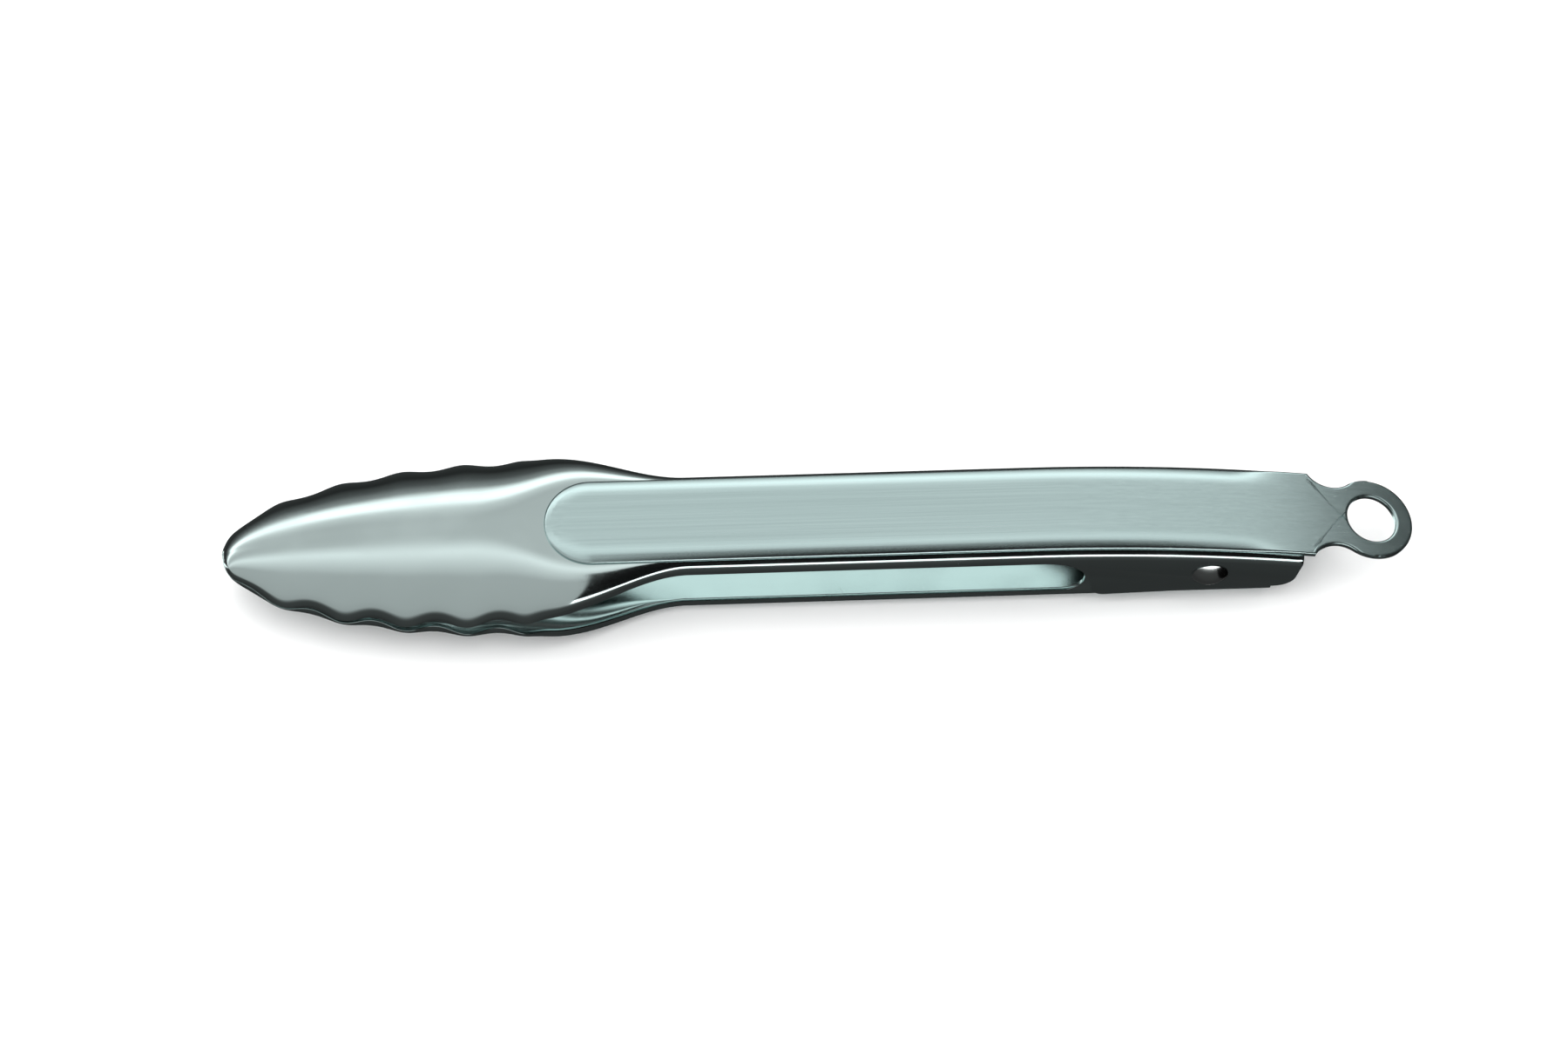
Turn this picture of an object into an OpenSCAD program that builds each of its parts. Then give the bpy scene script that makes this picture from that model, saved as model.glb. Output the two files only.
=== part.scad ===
// Spring loaded kitchen tongs, all in stainless steel, lying closed on the rear handle plate.
// Two pressed arms end in scalloped spoon heads. The rear arm's ears nest between the front
// arm's ears and turn on a riveted sleeve. A torsion spring pushes the arms open, and a roller
// that slides in the rear ears drops behind a catch on the front arm to lock them closed.
// Stations are measured along +X from the tips of the heads; heights from the plane midway
// between the arms. Each module is then placed with the object's base at Z = 0.

/* [Overall] */
// Length from the tips of the heads to the end of the hanging ring
overall_len = 300; // [250:1:360]
// Height over both handle plates with the arms closed
overall_h = 26.2; // [25:0.1:34]

/* [Arms] */
// Thickness of the pressed sheet of both arms
sheet = 1; // [0.8:0.1:1.2]
// Width of the front arm at the grip and over its hinge ears
grip_w = 27; // [24:0.5:33]
// Gap on each side between the front ears and the nested rear arm
nest_gap = 0.1; // [0.06:0.01:0.3]
// Outer radius of the bend between web and flange
bend_r = 2.5; // [2:0.1:3]
// Depth of the grip's flanges, bend included
flange_h = 4; // [3.2:0.1:5]
// Radius of the curve that lowers the front arm's tail
tail_r = 360; // [300:10:450]

/* [Heads] */
// Width of a head between the middles of its scallops
head_w = 44.8; // [36:0.2:54]
// Length of the rounded front of a head, seen from above
round_len = 68; // [56:1:82]
// Station where the back of a head reaches the height of the grip
crown_len = 78; // [64:1:84]
// Station where a head begins to narrow
narrow_from = 79; // [76:1:84]
// Length over which a head narrows into the grip
narrow_len = 37; // [30:1:44]
// Gap between the rims at the tips of the closed heads
tip_gap = 0.3; // [0.2:0.05:0.8]
// Distance between scallops
scallop_pitch = 15.4; // [12:0.1:19]
// Height of a scallop above and below the middle of the rim
scallop_h = 1; // [0.4:0.1:1.3]
// Station of the first scallop's peak
first_scallop = 14.3; // [12:0.1:17]

/* [Handle plates] */
// Thickness of both handle plates
plate_t = 1.5; // [1:0.1:2]
// Width of the front handle plate
front_plate_w = 23.6; // [20:0.1:24]
// Width of the rear handle plate
rear_plate_w = 22; // [18:0.1:22.4]
// Station of the rounded head end of both plates
plate_from = 80.3; // [78:0.1:90]
// Outer diameter of the hanging ring
ring_d = 22; // [19:0.5:26]
// Diameter of the hanging hole
ring_hole_d = 13; // [9:0.5:15]
// Width of the neck between plate and ring
neck_w = 16.5; // [13:0.1:18]
// Radius of the hollow on each side of the neck
neck_r = 7.5; // [5:0.5:10]

/* [Hinge] */
// Distance from the hinge pin back to the end of the hanging ring
hinge_to_end = 52.9; // [46:0.1:62]
// Distance from the hinge pin back to the end of the front arm
hinge_to_front_end = 23.6; // [20:0.1:28]
// Distance from the hinge pin back to the end of the rear arm
hinge_to_rear_end = 16.5; // [12:0.1:18]
// Distance from the hinge pin forward to where the front arm's tail curve begins
hinge_to_curve = 45; // [40:0.1:54]
// Diameter of the rivet's shank
rivet_d = 5; // [4:0.1:6]
// Diameter of the rivet's domed heads
rivet_head_d = 9.5; // [8:0.1:11]
// Height of the rivet's domed heads
rivet_head_h = 2; // [1.4:0.1:2.6]
// Wall of the sleeve between the front ears
sleeve_wall = 0.65; // [0.5:0.05:0.8]
// Radial clearance of each round fit at the hinge
turn_gap = 0.05; // [0.02:0.01:0.1]
// Angle to which the arms open before the rear ears stop on the front web, in degrees
open_angle = 28; // [20:0.5:28]
// Gap left at the stop between the rear ears and the front web
stop_gap = 0.4; // [0.2:0.05:0.8]

/* [Spring] */
// Diameter of the spring's wire
wire_d = 1.8; // [1.4:0.1:2]
// Whole turns of the coil, beside the part turn between its legs
whole_turns = 4; // [2:1:4]
// Gap between neighbouring turns
turn_space = 0.25; // [0.1:0.05:0.4]
// Radial gap between the coil and the sleeve
coil_gap = 0.3; // [0.2:0.05:0.5]
// Distance from the hinge pin forward to the tips of the legs
leg_reach = 27; // [22:0.5:32]
// Gap between each leg and the web that it pushes on
leg_gap = 0.1; // [0.05:0.05:0.3]

/* [Lock] */
// Diameter of the lock roller
roller_d = 4.4; // [3.6:0.1:4.8]
// Diameter of the trunnions on the roller's ends
trunnion_d = 3; // [2.4:0.1:3.4]
// Distance from the hinge pin forward to the locked roller
lock_ahead = 13.2; // [12.6:0.1:15]
// Travel of the roller from locked to free
lock_travel = 7; // [6.6:0.1:8]
// Clearance around the trunnions in their slots
slot_gap = 0.15; // [0.05:0.05:0.3]
// Gap between the roller and the rear ears, at each end
roller_end_gap = 0.4; // [0.2:0.05:0.8]
// Thickness of the lock catch
catch_t = 1; // [0.8:0.1:1.1]
// Width of the lock catch
catch_w = 5.6; // [4:0.1:6]
// Gap between the locked roller and the catch below it
lip_gap = 0.2; // [0.1:0.05:0.4]
// Gap between the locked roller and the catch behind it
stem_gap = 0.8; // [0.5:0.1:1.2]
// Length of the catch's foot along the front web
foot_len = 6; // [4:0.5:7]

/* [Hidden] */

$fn = 72;
polished = [0.78, 0.81, 0.81];
brushed = [0.70, 0.74, 0.74];
spring_steel = [0.55, 0.57, 0.58];
cut = 100;                      // reach of a cutting tool past what it cuts
curve_fn = 720;                 // facets of the large tail circles in a preview

// Heights above the middle plane
web_top = overall_h / 2 - plate_t;
rim_top = web_top - flange_h;
tip_rim = tip_gap / 2;
inner_bend = bend_r - sheet;

// Half widths
front_half = grip_w / 2;
rear_half = front_half - sheet - nest_gap;
head_half = head_w / 2;

// Stations
hinge = overall_len - hinge_to_end;
curve_from = hinge - hinge_to_curve;
front_end = hinge + hinge_to_front_end;
rear_end = hinge + hinge_to_rear_end;
tail_angle = asin((front_end - curve_from) / tail_r);
curve_centre = [curve_from, web_top - tail_r];
// Angle of the ring's centre round the tail curve, which runs on through neck and ring
ring_r = ring_d / 2;
plate_r = tail_r + plate_t;
plate_end_angle = asin((overall_len - curve_from) / tail_r);
ring_angle = asin((overall_len - curve_from) / plate_r) - asin(ring_r / plate_r);

// Hinge, spring and lock
rivet_r = rivet_d / 2;
sleeve_bore_r = rivet_r + turn_gap;
sleeve_r = sleeve_bore_r + sleeve_wall;
wire_r = wire_d / 2;
coil_r = sleeve_r + coil_gap + wire_r;
coil_pitch = wire_d + turn_space;
roller_r = roller_d / 2;
trunnion_r = trunnion_d / 2;
locked = hinge - lock_ahead;
released = locked - lock_travel;
stem_front = locked + roller_r + stem_gap;
lip_top = -roller_r - lip_gap;

// ---- Small maths ----

function mix(a, b, share) = a + (b - a) * share;
function unit(x) = max(0, min(1, x));
function ease(x) = pow(unit(x), 2) * (3 - 2 * unit(x));
// Height or half width of a quarter ellipse at distance x into its length
function quarter(x, length, rise) = rise * sqrt(max(0, 1 - pow(1 - unit(x / length), 2)));
function arc(centre, r, from, to, steps) =
    [for (k = [0:steps]) let (a = mix(from, to, k / steps)) centre + r * [cos(a), sin(a)]];
// A 2D point turned about the hinge by the opening angle, tips upward
function opened(p) =
    let (x = p[0] - hinge, z = p[1])
    [hinge + x * cos(open_angle) + z * sin(open_angle), z * cos(open_angle) - x * sin(open_angle)];

// ---- Heads ----

narrow_end = narrow_from + narrow_len;
scallop_in = 4;                 // length over which the scallops grow from the tip
scallop_out = 12;               // length over which the last scallop fades
scallop_end = 84;               // station where the last scallop has faded
crown_flat = 0.2;               // share of a head's half width that is flat across its back
crown_drop = 0.86;              // share of a head's height taken by its rounded side
nose_wall = 1.4;                // height of the rim wall at the very tip
nose_half = 0.3;                // half width of the small flat at the very tip
rim_rise = 1.5;                 // rise of the rim over the rounded front of the head
rim_rise_len = 60;              // length of that rise
rim_from = 72;                  // station where the rim starts to climb to the grip's flange
rim_len = 44;                   // length of that climb
flat_from = 62;                 // station where the back starts to flatten into the grip's web
flat_len = 30;                  // length over which it flattens
corner_from = 70;               // station where the rounded side starts to become a bend
corner_len = 40;                // length over which it does
tip_crowding = 0.8;             // how closely stations crowd together toward the tip
rows = 36;                      // stations along a head
side = 11;                      // points from the rim to the spine

function narrowing(s) = ease((s - narrow_from) / narrow_len);
function flattening(s) = ease((s - flat_from) / flat_len);
function rim_z(s) =
    mix(tip_rim + rim_rise * pow(s / rim_rise_len, 2), rim_top, ease((s - rim_from) / rim_len));
function scallop(s) =
    let (before = 180 * (first_scallop - s) / (scallop_pitch / 2),
         after = 360 * (s - first_scallop) / scallop_pitch,
         fade = ease(s / scallop_in) * ease((scallop_end - s) / scallop_out))
    scallop_h * fade * cos(s < first_scallop ? before : after);
// Half width at a station, inset by the sheet's thickness on the inside
function half_width(s, inset, grip_half) =
    max(nose_half, mix(quarter(s - inset, round_len - inset, head_half - inset),
                       grip_half - inset, narrowing(s)));
// Height of the back at a station, inset in the same way
function crown_z(s, inset) =
    max(nose_wall - inset / 2, quarter(s - inset, crown_len - inset, web_top - inset));
// Point j of the section at station s, from the right rim over the spine to the left rim
function section_point(s, j, inset, grip_half) =
    let (w = half_width(s, inset, grip_half),
         crown = crown_z(s, inset),
         rim = rim_z(s),
         bend = bend_r - inset,
         flat = mix(min(crown_flat * w, w), grip_half - bend_r, flattening(s)),
         round_w = max(bend * unit(w / head_half), w - flat),
         round_h = mix(crown_drop * (crown - rim), bend, ease((s - corner_from) / corner_len)),
         k = min(j, 2 * side - j),
         left = j > side ? -1 : 1,
         turn = 90 * (k - 1) / (side - 2),
         y = k == 0 ? w : k == side ? 0 : w - round_w + round_w * cos(turn),
         z = k == 0 ? rim : k == side ? crown : crown - round_h + round_h * sin(turn),
         lift = (z - rim) / max(0.1, crown - rim),
         wave = k == side ? 0 : scallop(s) * pow(1 - lift, 2))
    [s, left * (y + wave), z];
// Stations crowd together toward the tip, where the outline turns fastest
function station(i) = narrow_end * (1 - cos(90 * pow(i / rows, tip_crowding)));
function inner_station(i) = mix(sheet, narrow_end, station(i) / narrow_end);

// A head and the straight grip behind it, as one closed shell up to station last
module head_and_grip(grip_half, last) {
    n = 2 * side + 1;
    outer = [for (i = [0:rows + 1], j = [0:n - 1])
        i > rows ? section_point(narrow_end, j, 0, grip_half) + [last - narrow_end, 0, 0]
                 : section_point(station(i), j, 0, grip_half)];
    inner = [for (i = [0:rows + 1], j = [0:n - 1])
        i > rows ? section_point(narrow_end, j, sheet, grip_half) + [last - narrow_end, 0, 0]
                 : section_point(inner_station(i), j, sheet, grip_half)];
    // The rim is one flat edge, so the inner rim takes the outer rim's height
    inner_flush = [for (k = [0:len(inner) - 1])
        let (j = k % n)
        j == 0 || j == n - 1 ? [inner[k][0], inner[k][1], outer[k][2]] : inner[k]];
    first_in = len(outer);
    quads_out = [for (i = [0:rows], j = [0:n - 2])
        [i * n + j, (i + 1) * n + j, (i + 1) * n + j + 1, i * n + j + 1]];
    quads_in = [for (q = quads_out) [for (k = [3:-1:0]) q[k] + first_in]];
    edge_right = [for (i = [0:rows])
        [i * n, i * n + first_in, (i + 1) * n + first_in, (i + 1) * n]];
    edge_left = [for (i = [0:rows])
        [i * n + n - 1, (i + 1) * n + n - 1, (i + 1) * n + n - 1 + first_in, i * n + n - 1 + first_in]];
    end_ring = [for (j = [0:n - 2]) let (a = (rows + 1) * n + j)
        [a, a + first_in, a + first_in + 1, a + 1]];
    nose_out = [for (j = [0:n - 1]) j];
    nose_in = [for (j = [n - 1:-1:0]) j + first_in];
    nose_rim = [0, n - 1, n - 1 + first_in, first_in];
    quads = concat(quads_out, quads_in, edge_right, edge_left, end_ring);
    triangles = [for (q = quads, h = [0, 1]) h == 0 ? [q[0], q[1], q[2]] : [q[0], q[2], q[3]]];
    polyhedron(points = concat(outer, inner_flush), faces = concat(triangles, [nose_out, nose_in, nose_rim]));
}

// ---- Placing ----

// From stations and heights to the object's own frame
module placed() {
    translate([-overall_len / 2, 0, overall_h / 2]) children();
}
// A side view drawn as [station, height], made into a slab between two Y values
module slab(y_from, y_to) {
    translate([0, y_to, 0]) rotate([90, 0, 0]) linear_extrude(y_to - y_from) children();
}
// The same slab on both sides of the object
module both_sides(y_from, y_to) {
    slab(y_from, y_to) children();
    slab(-y_to, -y_from) children();
}
// A cylinder across the object at a station and height
module across(s, z, r, half_len) {
    translate([s, half_len, z]) rotate([90, 0, 0]) cylinder(r = r, h = 2 * half_len);
}
// A 2D shape [radius, y] swept around the centre of the tail curve, from straight up
module swept_tail(angle) {
    translate([curve_centre[0], 0, curve_centre[1]])
        rotate([-90, -90, 0]) rotate_extrude(angle = angle, $fn = curve_fn) children();
}

// ---- Front arm ----

ear_depth = 3.1;                // height of the front ears' lower edge above the rear web's face
ear_rise = 1.7;                 // rise of that edge toward the tail
ear_front = hinge - 30.3;       // station of the ears' front edge
ear_slot_len = 12.4;            // length of the rounded opening in front of the ears
ear_slot_mid = -1;              // height at which the ears' front edge stands upright
ear_nose_r = 3.5;               // radius of the ears' lower front corner
ear_lean = 0.6;                 // how far that corner stands back from the ears' front edge
ear_heel_r = 5;                 // radius of the ears' lower rear corner
lap = 0.8;                      // how far the ears reach up into the flange's flat wall

ear_bottom = ear_depth - web_top;
// Height of the tail curve of radius r at station s
function tail_z(s, r) = curve_centre[1] + sqrt(pow(r, 2) - pow(max(0, s - curve_from), 2));
// Station of the arm's square-cut end at height z
function tail_end_s(z) = curve_centre[0] + (z - curve_centre[1]) * tan(tail_angle);

module front_ear_profile() {
    lap_r = tail_r - flange_h + lap;
    slot_from = ear_front - ear_slot_len;
    slot_rise = tail_z(slot_from, tail_r - flange_h) - ear_slot_mid;
    heel_z = ear_bottom + ear_rise;
    heel_s = tail_end_s(heel_z + ear_heel_r) - ear_heel_r / cos(tail_angle);
    points = concat(
        [[slot_from, tail_z(slot_from, lap_r)]],
        [for (a = [80:-8:0]) [slot_from + ear_slot_len * cos(a), ear_slot_mid + slot_rise * sin(a)]],
        arc([ear_front + ear_lean + ear_nose_r, ear_bottom + ear_nose_r], ear_nose_r, 180, 270, 8),
        arc([heel_s, heel_z + ear_heel_r], ear_heel_r, -88, -tail_angle, 10),
        [for (k = [8:-1:0]) tail_point(k / 8, slot_from, lap_r)]);
    polygon(points);
}
// Point on a tail curve of radius r, from station s_from to the arm's end
function tail_point(share, s_from, r) =
    let (a = mix(asin((s_from - curve_from) / tail_r), tail_angle, share))
    curve_centre + r * [sin(a), cos(a)];

module front_arm() placed() color(polished) difference() {
    union() {
        head_and_grip(front_half, curve_from);
        swept_tail(tail_angle) polygon([for (inset = [0, sheet], j = [0:2 * side])
            let (p = section_point(narrow_end, inset == 0 ? j : 2 * side - j, inset, front_half))
            [p[2] - curve_centre[1], p[1]]]);
        both_sides(front_half - sheet, front_half) front_ear_profile();
    }
    across(hinge, 0, rivet_r + turn_gap, cut);
}

// ---- Front handle plate, with neck and hanging ring ----

// Long outline with a round head end, drawn as [station, y]
module plate_outline(width, to) {
    translate([plate_from + width / 2, 0]) circle(d = width);
    translate([plate_from + width / 2, -width / 2]) square([to - plate_from - width / 2, width]);
}
// Plate, neck and ring, drawn in the plane that touches the tail curve at the ring's centre
module ring_outline() {
    // Each hollow is a circle that runs smoothly into the ring
    hollow_y = neck_w / 2 + neck_r;
    neck_x = -sqrt(pow(ring_r + neck_r, 2) - pow(hollow_y, 2));
    join_x = mix(neck_x, 0, neck_r / (neck_r + ring_r));
    back_x = -plate_r * sin(ring_angle) - front_plate_w;
    difference() {
        union() {
            circle(d = ring_d);
            translate([back_x, -front_plate_w / 2]) square([join_x - back_x, front_plate_w]);
        }
        for (y = [-1, 1]) translate([neck_x, y * hollow_y]) circle(r = neck_r);
    }
}
// Stands a drawing up round the tail curve's centre, so that it cuts the curved plate
module through_ring() {
    below = plate_r * (1 - cos(plate_end_angle));
    translate([curve_centre[0], 0, curve_centre[1]]) rotate([0, ring_angle, 0])
        translate([0, 0, tail_r - below]) linear_extrude(2 * below) children();
}

module front_handle_plate() placed() color(brushed) difference() {
    union() {
        // Straight part
        translate([0, 0, web_top]) linear_extrude(plate_t) plate_outline(front_plate_w, curve_from);
        // Part that follows the tail curve
        intersection() {
            swept_tail(plate_end_angle) translate([tail_r, -front_plate_w])
                square([plate_t, 2 * front_plate_w]);
            through_ring() ring_outline();
        }
    }
    through_ring() circle(d = ring_hole_d);
}

// ---- Rear arm ----

rear_slot_r = 5.8;              // radius of the rounded front edge of the rear ears
rear_slot_s = hinge - 37.2;     // station of that edge's centre
rear_slot_sweep = 55;           // angle to which the edge climbs past its foremost point
horn_s = hinge - 39.5;          // station of the ears' upper front tip
horn_drop = 4.8;                // height of that tip below the front web's face
heel_r = 2;                     // radius of the rear ears' lower rear corner

module rear_ear_profile() {
    // Rounded side of the front arm's channel, which the ears stay inside
    clear = sheet + inner_bend + stop_gap;
    centre = [rear_slot_s, rear_slot_r - rim_top];
    top = web_top - horn_drop;
    bottom = -rim_top - lap;
    difference() {
        intersection() {
            polygon(concat(
                [[centre[0], bottom]],
                arc(centre, rear_slot_r, -80, rear_slot_sweep, 16),
                [[horn_s, top]],
                [[rear_end, top]],
                [[rear_end, bottom]]));
            translate(curve_centre) circle(r = tail_r - clear, $fn = curve_fn);
            translate(opened(curve_centre)) circle(r = tail_r - clear, $fn = curve_fn);
        }
        lock_slot();
    }
}
module lock_slot() {
    r = trunnion_r + slot_gap;
    translate([released, 0]) circle(r = r);
    translate([locked, 0]) circle(r = r);
    translate([released, -r]) square([lock_travel, 2 * r]);
}

module rear_arm() placed() color(polished) difference() {
    union() {
        mirror([0, 0, 1]) head_and_grip(rear_half, rear_end);
        both_sides(rear_half - sheet, rear_half) rear_ear_profile();
    }
    across(hinge, 0, sleeve_r + turn_gap, cut);
}

module rear_handle_plate() placed() color(brushed) {
    translate([0, 0, -web_top - plate_t]) linear_extrude(plate_t) difference() {
        plate_outline(rear_plate_w, rear_end);
        for (y = [-1, 1]) translate([rear_end, y * rear_plate_w / 2]) rotate(45)
            square(2 * heel_r, center = true);
    }
}

// ---- Hinge ----

module hinge_rivet() placed() color(polished) {
    dome_r = (pow(rivet_head_d / 2, 2) + pow(rivet_head_h, 2)) / (2 * rivet_head_h);
    across(hinge, 0, rivet_r, front_half);
    for (y = [-1, 1]) intersection() {
        translate([hinge, y * (front_half + rivet_head_h - dome_r), 0]) sphere(r = dome_r);
        translate([hinge, y * (front_half + rivet_head_h / 2), 0]) rotate([90, 0, 0])
            cylinder(d = rivet_head_d + 1, h = rivet_head_h, center = true);
    }
}

module pivot_sleeve() placed() color(spring_steel) difference() {
    across(hinge, 0, sleeve_r, front_half - sheet);
    across(hinge, 0, sleeve_bore_r, cut);
}

// ---- Torsion spring ----

leg_z = tail_z(hinge - leg_reach, tail_r - sheet) - wire_r - leg_gap;
lower_leg_z = -(web_top - sheet - wire_r - leg_gap);
// Angle on the coil where a leg that ends at [-leg_reach, z] leaves it
function leave(z) =
    let (far = norm([leg_reach, z]))
    (z > 0 ? 1 : -1) * (180 - atan(abs(z) / leg_reach) - acos(coil_r / far));
coil_start = leave(leg_z);
coil_end = leave(lower_leg_z) - 360 * whole_turns;
coil_half = coil_pitch * (coil_start - coil_end) / 360 / 2;
coil_steps = 20 * (whole_turns + 1);
coil_sides = 8;

function wire_path() = concat(
    [[-leg_reach, -coil_half, leg_z]],
    [for (k = [0:coil_steps])
        let (a = mix(coil_start, coil_end, k / coil_steps))
        [coil_r * cos(a), mix(-coil_half, coil_half, k / coil_steps), coil_r * sin(a)]],
    [[-leg_reach, coil_half, lower_leg_z]]);
function unit_vector(v) = v / norm(v);
// Ring of points square to the wire at point i of its path
function wire_ring(path, i) =
    let (ahead = path[min(i + 1, len(path) - 1)] - path[max(i - 1, 0)],
         along = unit_vector(ahead),
         out = unit_vector(cross(along, [0, 1, 0])),
         up = cross(out, along))
    [for (k = [0:coil_sides - 1])
        path[i] + wire_r * (cos(360 * k / coil_sides) * out + sin(360 * k / coil_sides) * up)];

module torsion_spring() placed() color(spring_steel) {
    path = wire_path();
    last = len(path) - 1;
    points = [for (i = [0:last], p = wire_ring(path, i)) p];
    walls = [for (i = [0:last - 1], k = [0:coil_sides - 1], h = [0, 1])
        let (a = i * coil_sides + k,
             b = i * coil_sides + (k + 1) % coil_sides)
        h == 0 ? [a, a + coil_sides, b + coil_sides] : [a, b + coil_sides, b]];
    caps = [[for (k = [0:coil_sides - 1]) k],
            [for (k = [coil_sides - 1:-1:0]) last * coil_sides + k]];
    translate([hinge, 0, 0]) polyhedron(points = points, faces = concat(walls, caps));
}

// ---- Lock ----

module lock_roller() placed() color(spring_steel) {
    across(released, 0, roller_r, rear_half - sheet - roller_end_gap);
    across(released, 0, trunnion_r, rear_half - nest_gap);
}

module lock_catch() placed() color(spring_steel) {
    lip_from = released + roller_r + stem_gap;
    web_in = tail_r - sheet;
    slab(-catch_w / 2, catch_w / 2) intersection() {
        translate(curve_centre) circle(r = web_in, $fn = curve_fn);
        union() {
            translate([stem_front, lip_top - catch_t]) square([catch_t, web_top - lip_top]);
            translate([lip_from, lip_top - catch_t]) square([stem_front + catch_t - lip_from, catch_t]);
            difference() {
                translate([stem_front, 0]) square([foot_len, web_top]);
                translate(curve_centre) circle(r = web_in - catch_t, $fn = curve_fn);
            }
        }
    }
}

front_arm();
front_handle_plate();
rear_arm();
rear_handle_plate();
hinge_rivet();
pivot_sleeve();
torsion_spring();
lock_roller();
lock_catch();
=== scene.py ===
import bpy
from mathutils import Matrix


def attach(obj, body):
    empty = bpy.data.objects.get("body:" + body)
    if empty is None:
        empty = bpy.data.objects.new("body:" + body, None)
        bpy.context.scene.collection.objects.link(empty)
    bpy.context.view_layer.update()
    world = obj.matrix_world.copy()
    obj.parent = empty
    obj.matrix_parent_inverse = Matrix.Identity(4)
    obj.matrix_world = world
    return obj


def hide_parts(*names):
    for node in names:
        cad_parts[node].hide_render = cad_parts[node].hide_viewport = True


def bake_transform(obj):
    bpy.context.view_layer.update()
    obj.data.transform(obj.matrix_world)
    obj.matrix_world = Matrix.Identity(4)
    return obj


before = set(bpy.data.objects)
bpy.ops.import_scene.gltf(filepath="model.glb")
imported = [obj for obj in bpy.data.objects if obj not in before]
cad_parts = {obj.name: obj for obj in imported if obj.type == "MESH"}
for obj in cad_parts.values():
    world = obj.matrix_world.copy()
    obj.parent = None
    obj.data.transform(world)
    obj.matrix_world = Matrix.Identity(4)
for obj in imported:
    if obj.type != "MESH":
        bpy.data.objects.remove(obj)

"""Spring loaded kitchen tongs in stainless steel, lying closed on a pale studio floor.

The classes follow how the tongs are made: two arms pressed from sheet, two brushed handle
plates, a riveted hinge with its sleeve and torsion spring, and a sliding lock. Stations are
millimetres from the tips of the heads, heights are millimetres from the plane between the arms.
"""

import logging
import math
from dataclasses import dataclass, field
from enum import Enum
from typing import Any, Callable, Sequence

import bpy
from mathutils import Matrix, Vector

log = logging.getLogger("tongs")
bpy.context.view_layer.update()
MM = 0.001
FACING = 0.9
ROUND_SIDES = 72
Point2 = tuple[float, float]
Point3 = tuple[float, float, float]
Stop = tuple[float, float]


class Body(Enum):
    """The moving bodies of the tongs."""

    REAR = "rear"
    FRONT = "front"
    ROLLER = "roller"


class Slot(Enum):
    """The material slots of the tongs."""

    POLISHED = "polished_steel"
    BRUSHED = "brushed_steel"
    RIVET = "rivet_steel"
    SPRING = "spring_steel"


class Run(Enum):
    """How a row of an arm's sheet is placed: along the straight, or round the tail's curve."""

    STRAIGHT = "straight"
    CURVE = "curve"


Row = tuple[Run, float]


# ---- Sizes ----


@dataclass(frozen=True)
class Sizes:
    """Every size that more than one piece needs, in millimetres."""

    overall_len: float = 300.0
    overall_h: float = 26.2
    sheet: float = 1.0
    grip_w: float = 27.0
    nest_gap: float = 0.1
    bend_r: float = 2.5
    flange_h: float = 4.0
    tail_r: float = 360.0
    head_w: float = 44.8
    round_len: float = 68.0
    crown_len: float = 78.0
    narrow_from: float = 79.0
    narrow_len: float = 37.0
    tip_gap: float = 0.3
    scallop_pitch: float = 15.4
    scallop_h: float = 1.0
    first_scallop: float = 14.3
    plate_t: float = 1.5
    hinge_to_end: float = 52.9
    hinge_to_front_end: float = 23.6
    hinge_to_rear_end: float = 16.5
    hinge_to_curve: float = 45.0
    rivet_d: float = 5.0
    sleeve_wall: float = 0.65
    turn_gap: float = 0.05
    open_angle: float = 28.0
    stop_gap: float = 0.4
    lock_ahead: float = 13.2
    lock_travel: float = 7.0
    trunnion_d: float = 3.0

    @property
    def web_top(self) -> float:
        """Height of the outside of the front arm's web."""
        return self.overall_h / 2 - self.plate_t

    @property
    def rim_top(self) -> float:
        """Height of the edge of the front arm's flanges."""
        return self.web_top - self.flange_h

    @property
    def hinge(self) -> float:
        """Station of the hinge pin."""
        return self.overall_len - self.hinge_to_end

    @property
    def curve_from(self) -> float:
        """Station where the front arm's tail starts to curve down."""
        return self.hinge - self.hinge_to_curve

    @property
    def front_end(self) -> float:
        """Station of the end of the front arm's web."""
        return self.hinge + self.hinge_to_front_end

    @property
    def rear_end(self) -> float:
        """Station of the end of the rear arm."""
        return self.hinge + self.hinge_to_rear_end

    @property
    def tail_angle(self) -> float:
        """Angle of the tail's curve, in radians."""
        return math.asin((self.front_end - self.curve_from) / self.tail_r)

    @property
    def curve_z(self) -> float:
        """Height of the centre of the tail's curve."""
        return self.web_top - self.tail_r

    @property
    def narrow_end(self) -> float:
        """Station where a head has narrowed into the grip."""
        return self.narrow_from + self.narrow_len

    @property
    def front_half(self) -> float:
        """Half the width of the front arm at the grip."""
        return self.grip_w / 2

    @property
    def rear_half(self) -> float:
        """Half the width of the rear arm at the grip."""
        return self.front_half - self.sheet - self.nest_gap

    @property
    def sleeve_r(self) -> float:
        """Outer radius of the sleeve."""
        return self.rivet_d / 2 + self.turn_gap + self.sleeve_wall

    @property
    def locked(self) -> float:
        """Station of the roller when the tongs are locked."""
        return self.hinge - self.lock_ahead

    @property
    def released(self) -> float:
        """Station of the roller when the tongs are free."""
        return self.locked - self.lock_travel

    def tail_height(self, station: float, radius: float) -> float:
        """Height of the tail curve of that radius at a station."""
        return self.curve_z + math.sqrt(radius**2 - max(0.0, station - self.curve_from) ** 2)

    def on_tail(self, angle: float, radius: float) -> Point2:
        """Where a point lies on a tail curve.

        Args:
            angle: Angle from where the curve starts, in radians.
            radius: Radius of the curve.

        Returns:
            Its station and height.
        """
        return (
            self.curve_from + radius * math.sin(angle),
            self.curve_z + radius * math.cos(angle),
        )


SIZES = Sizes()


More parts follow.
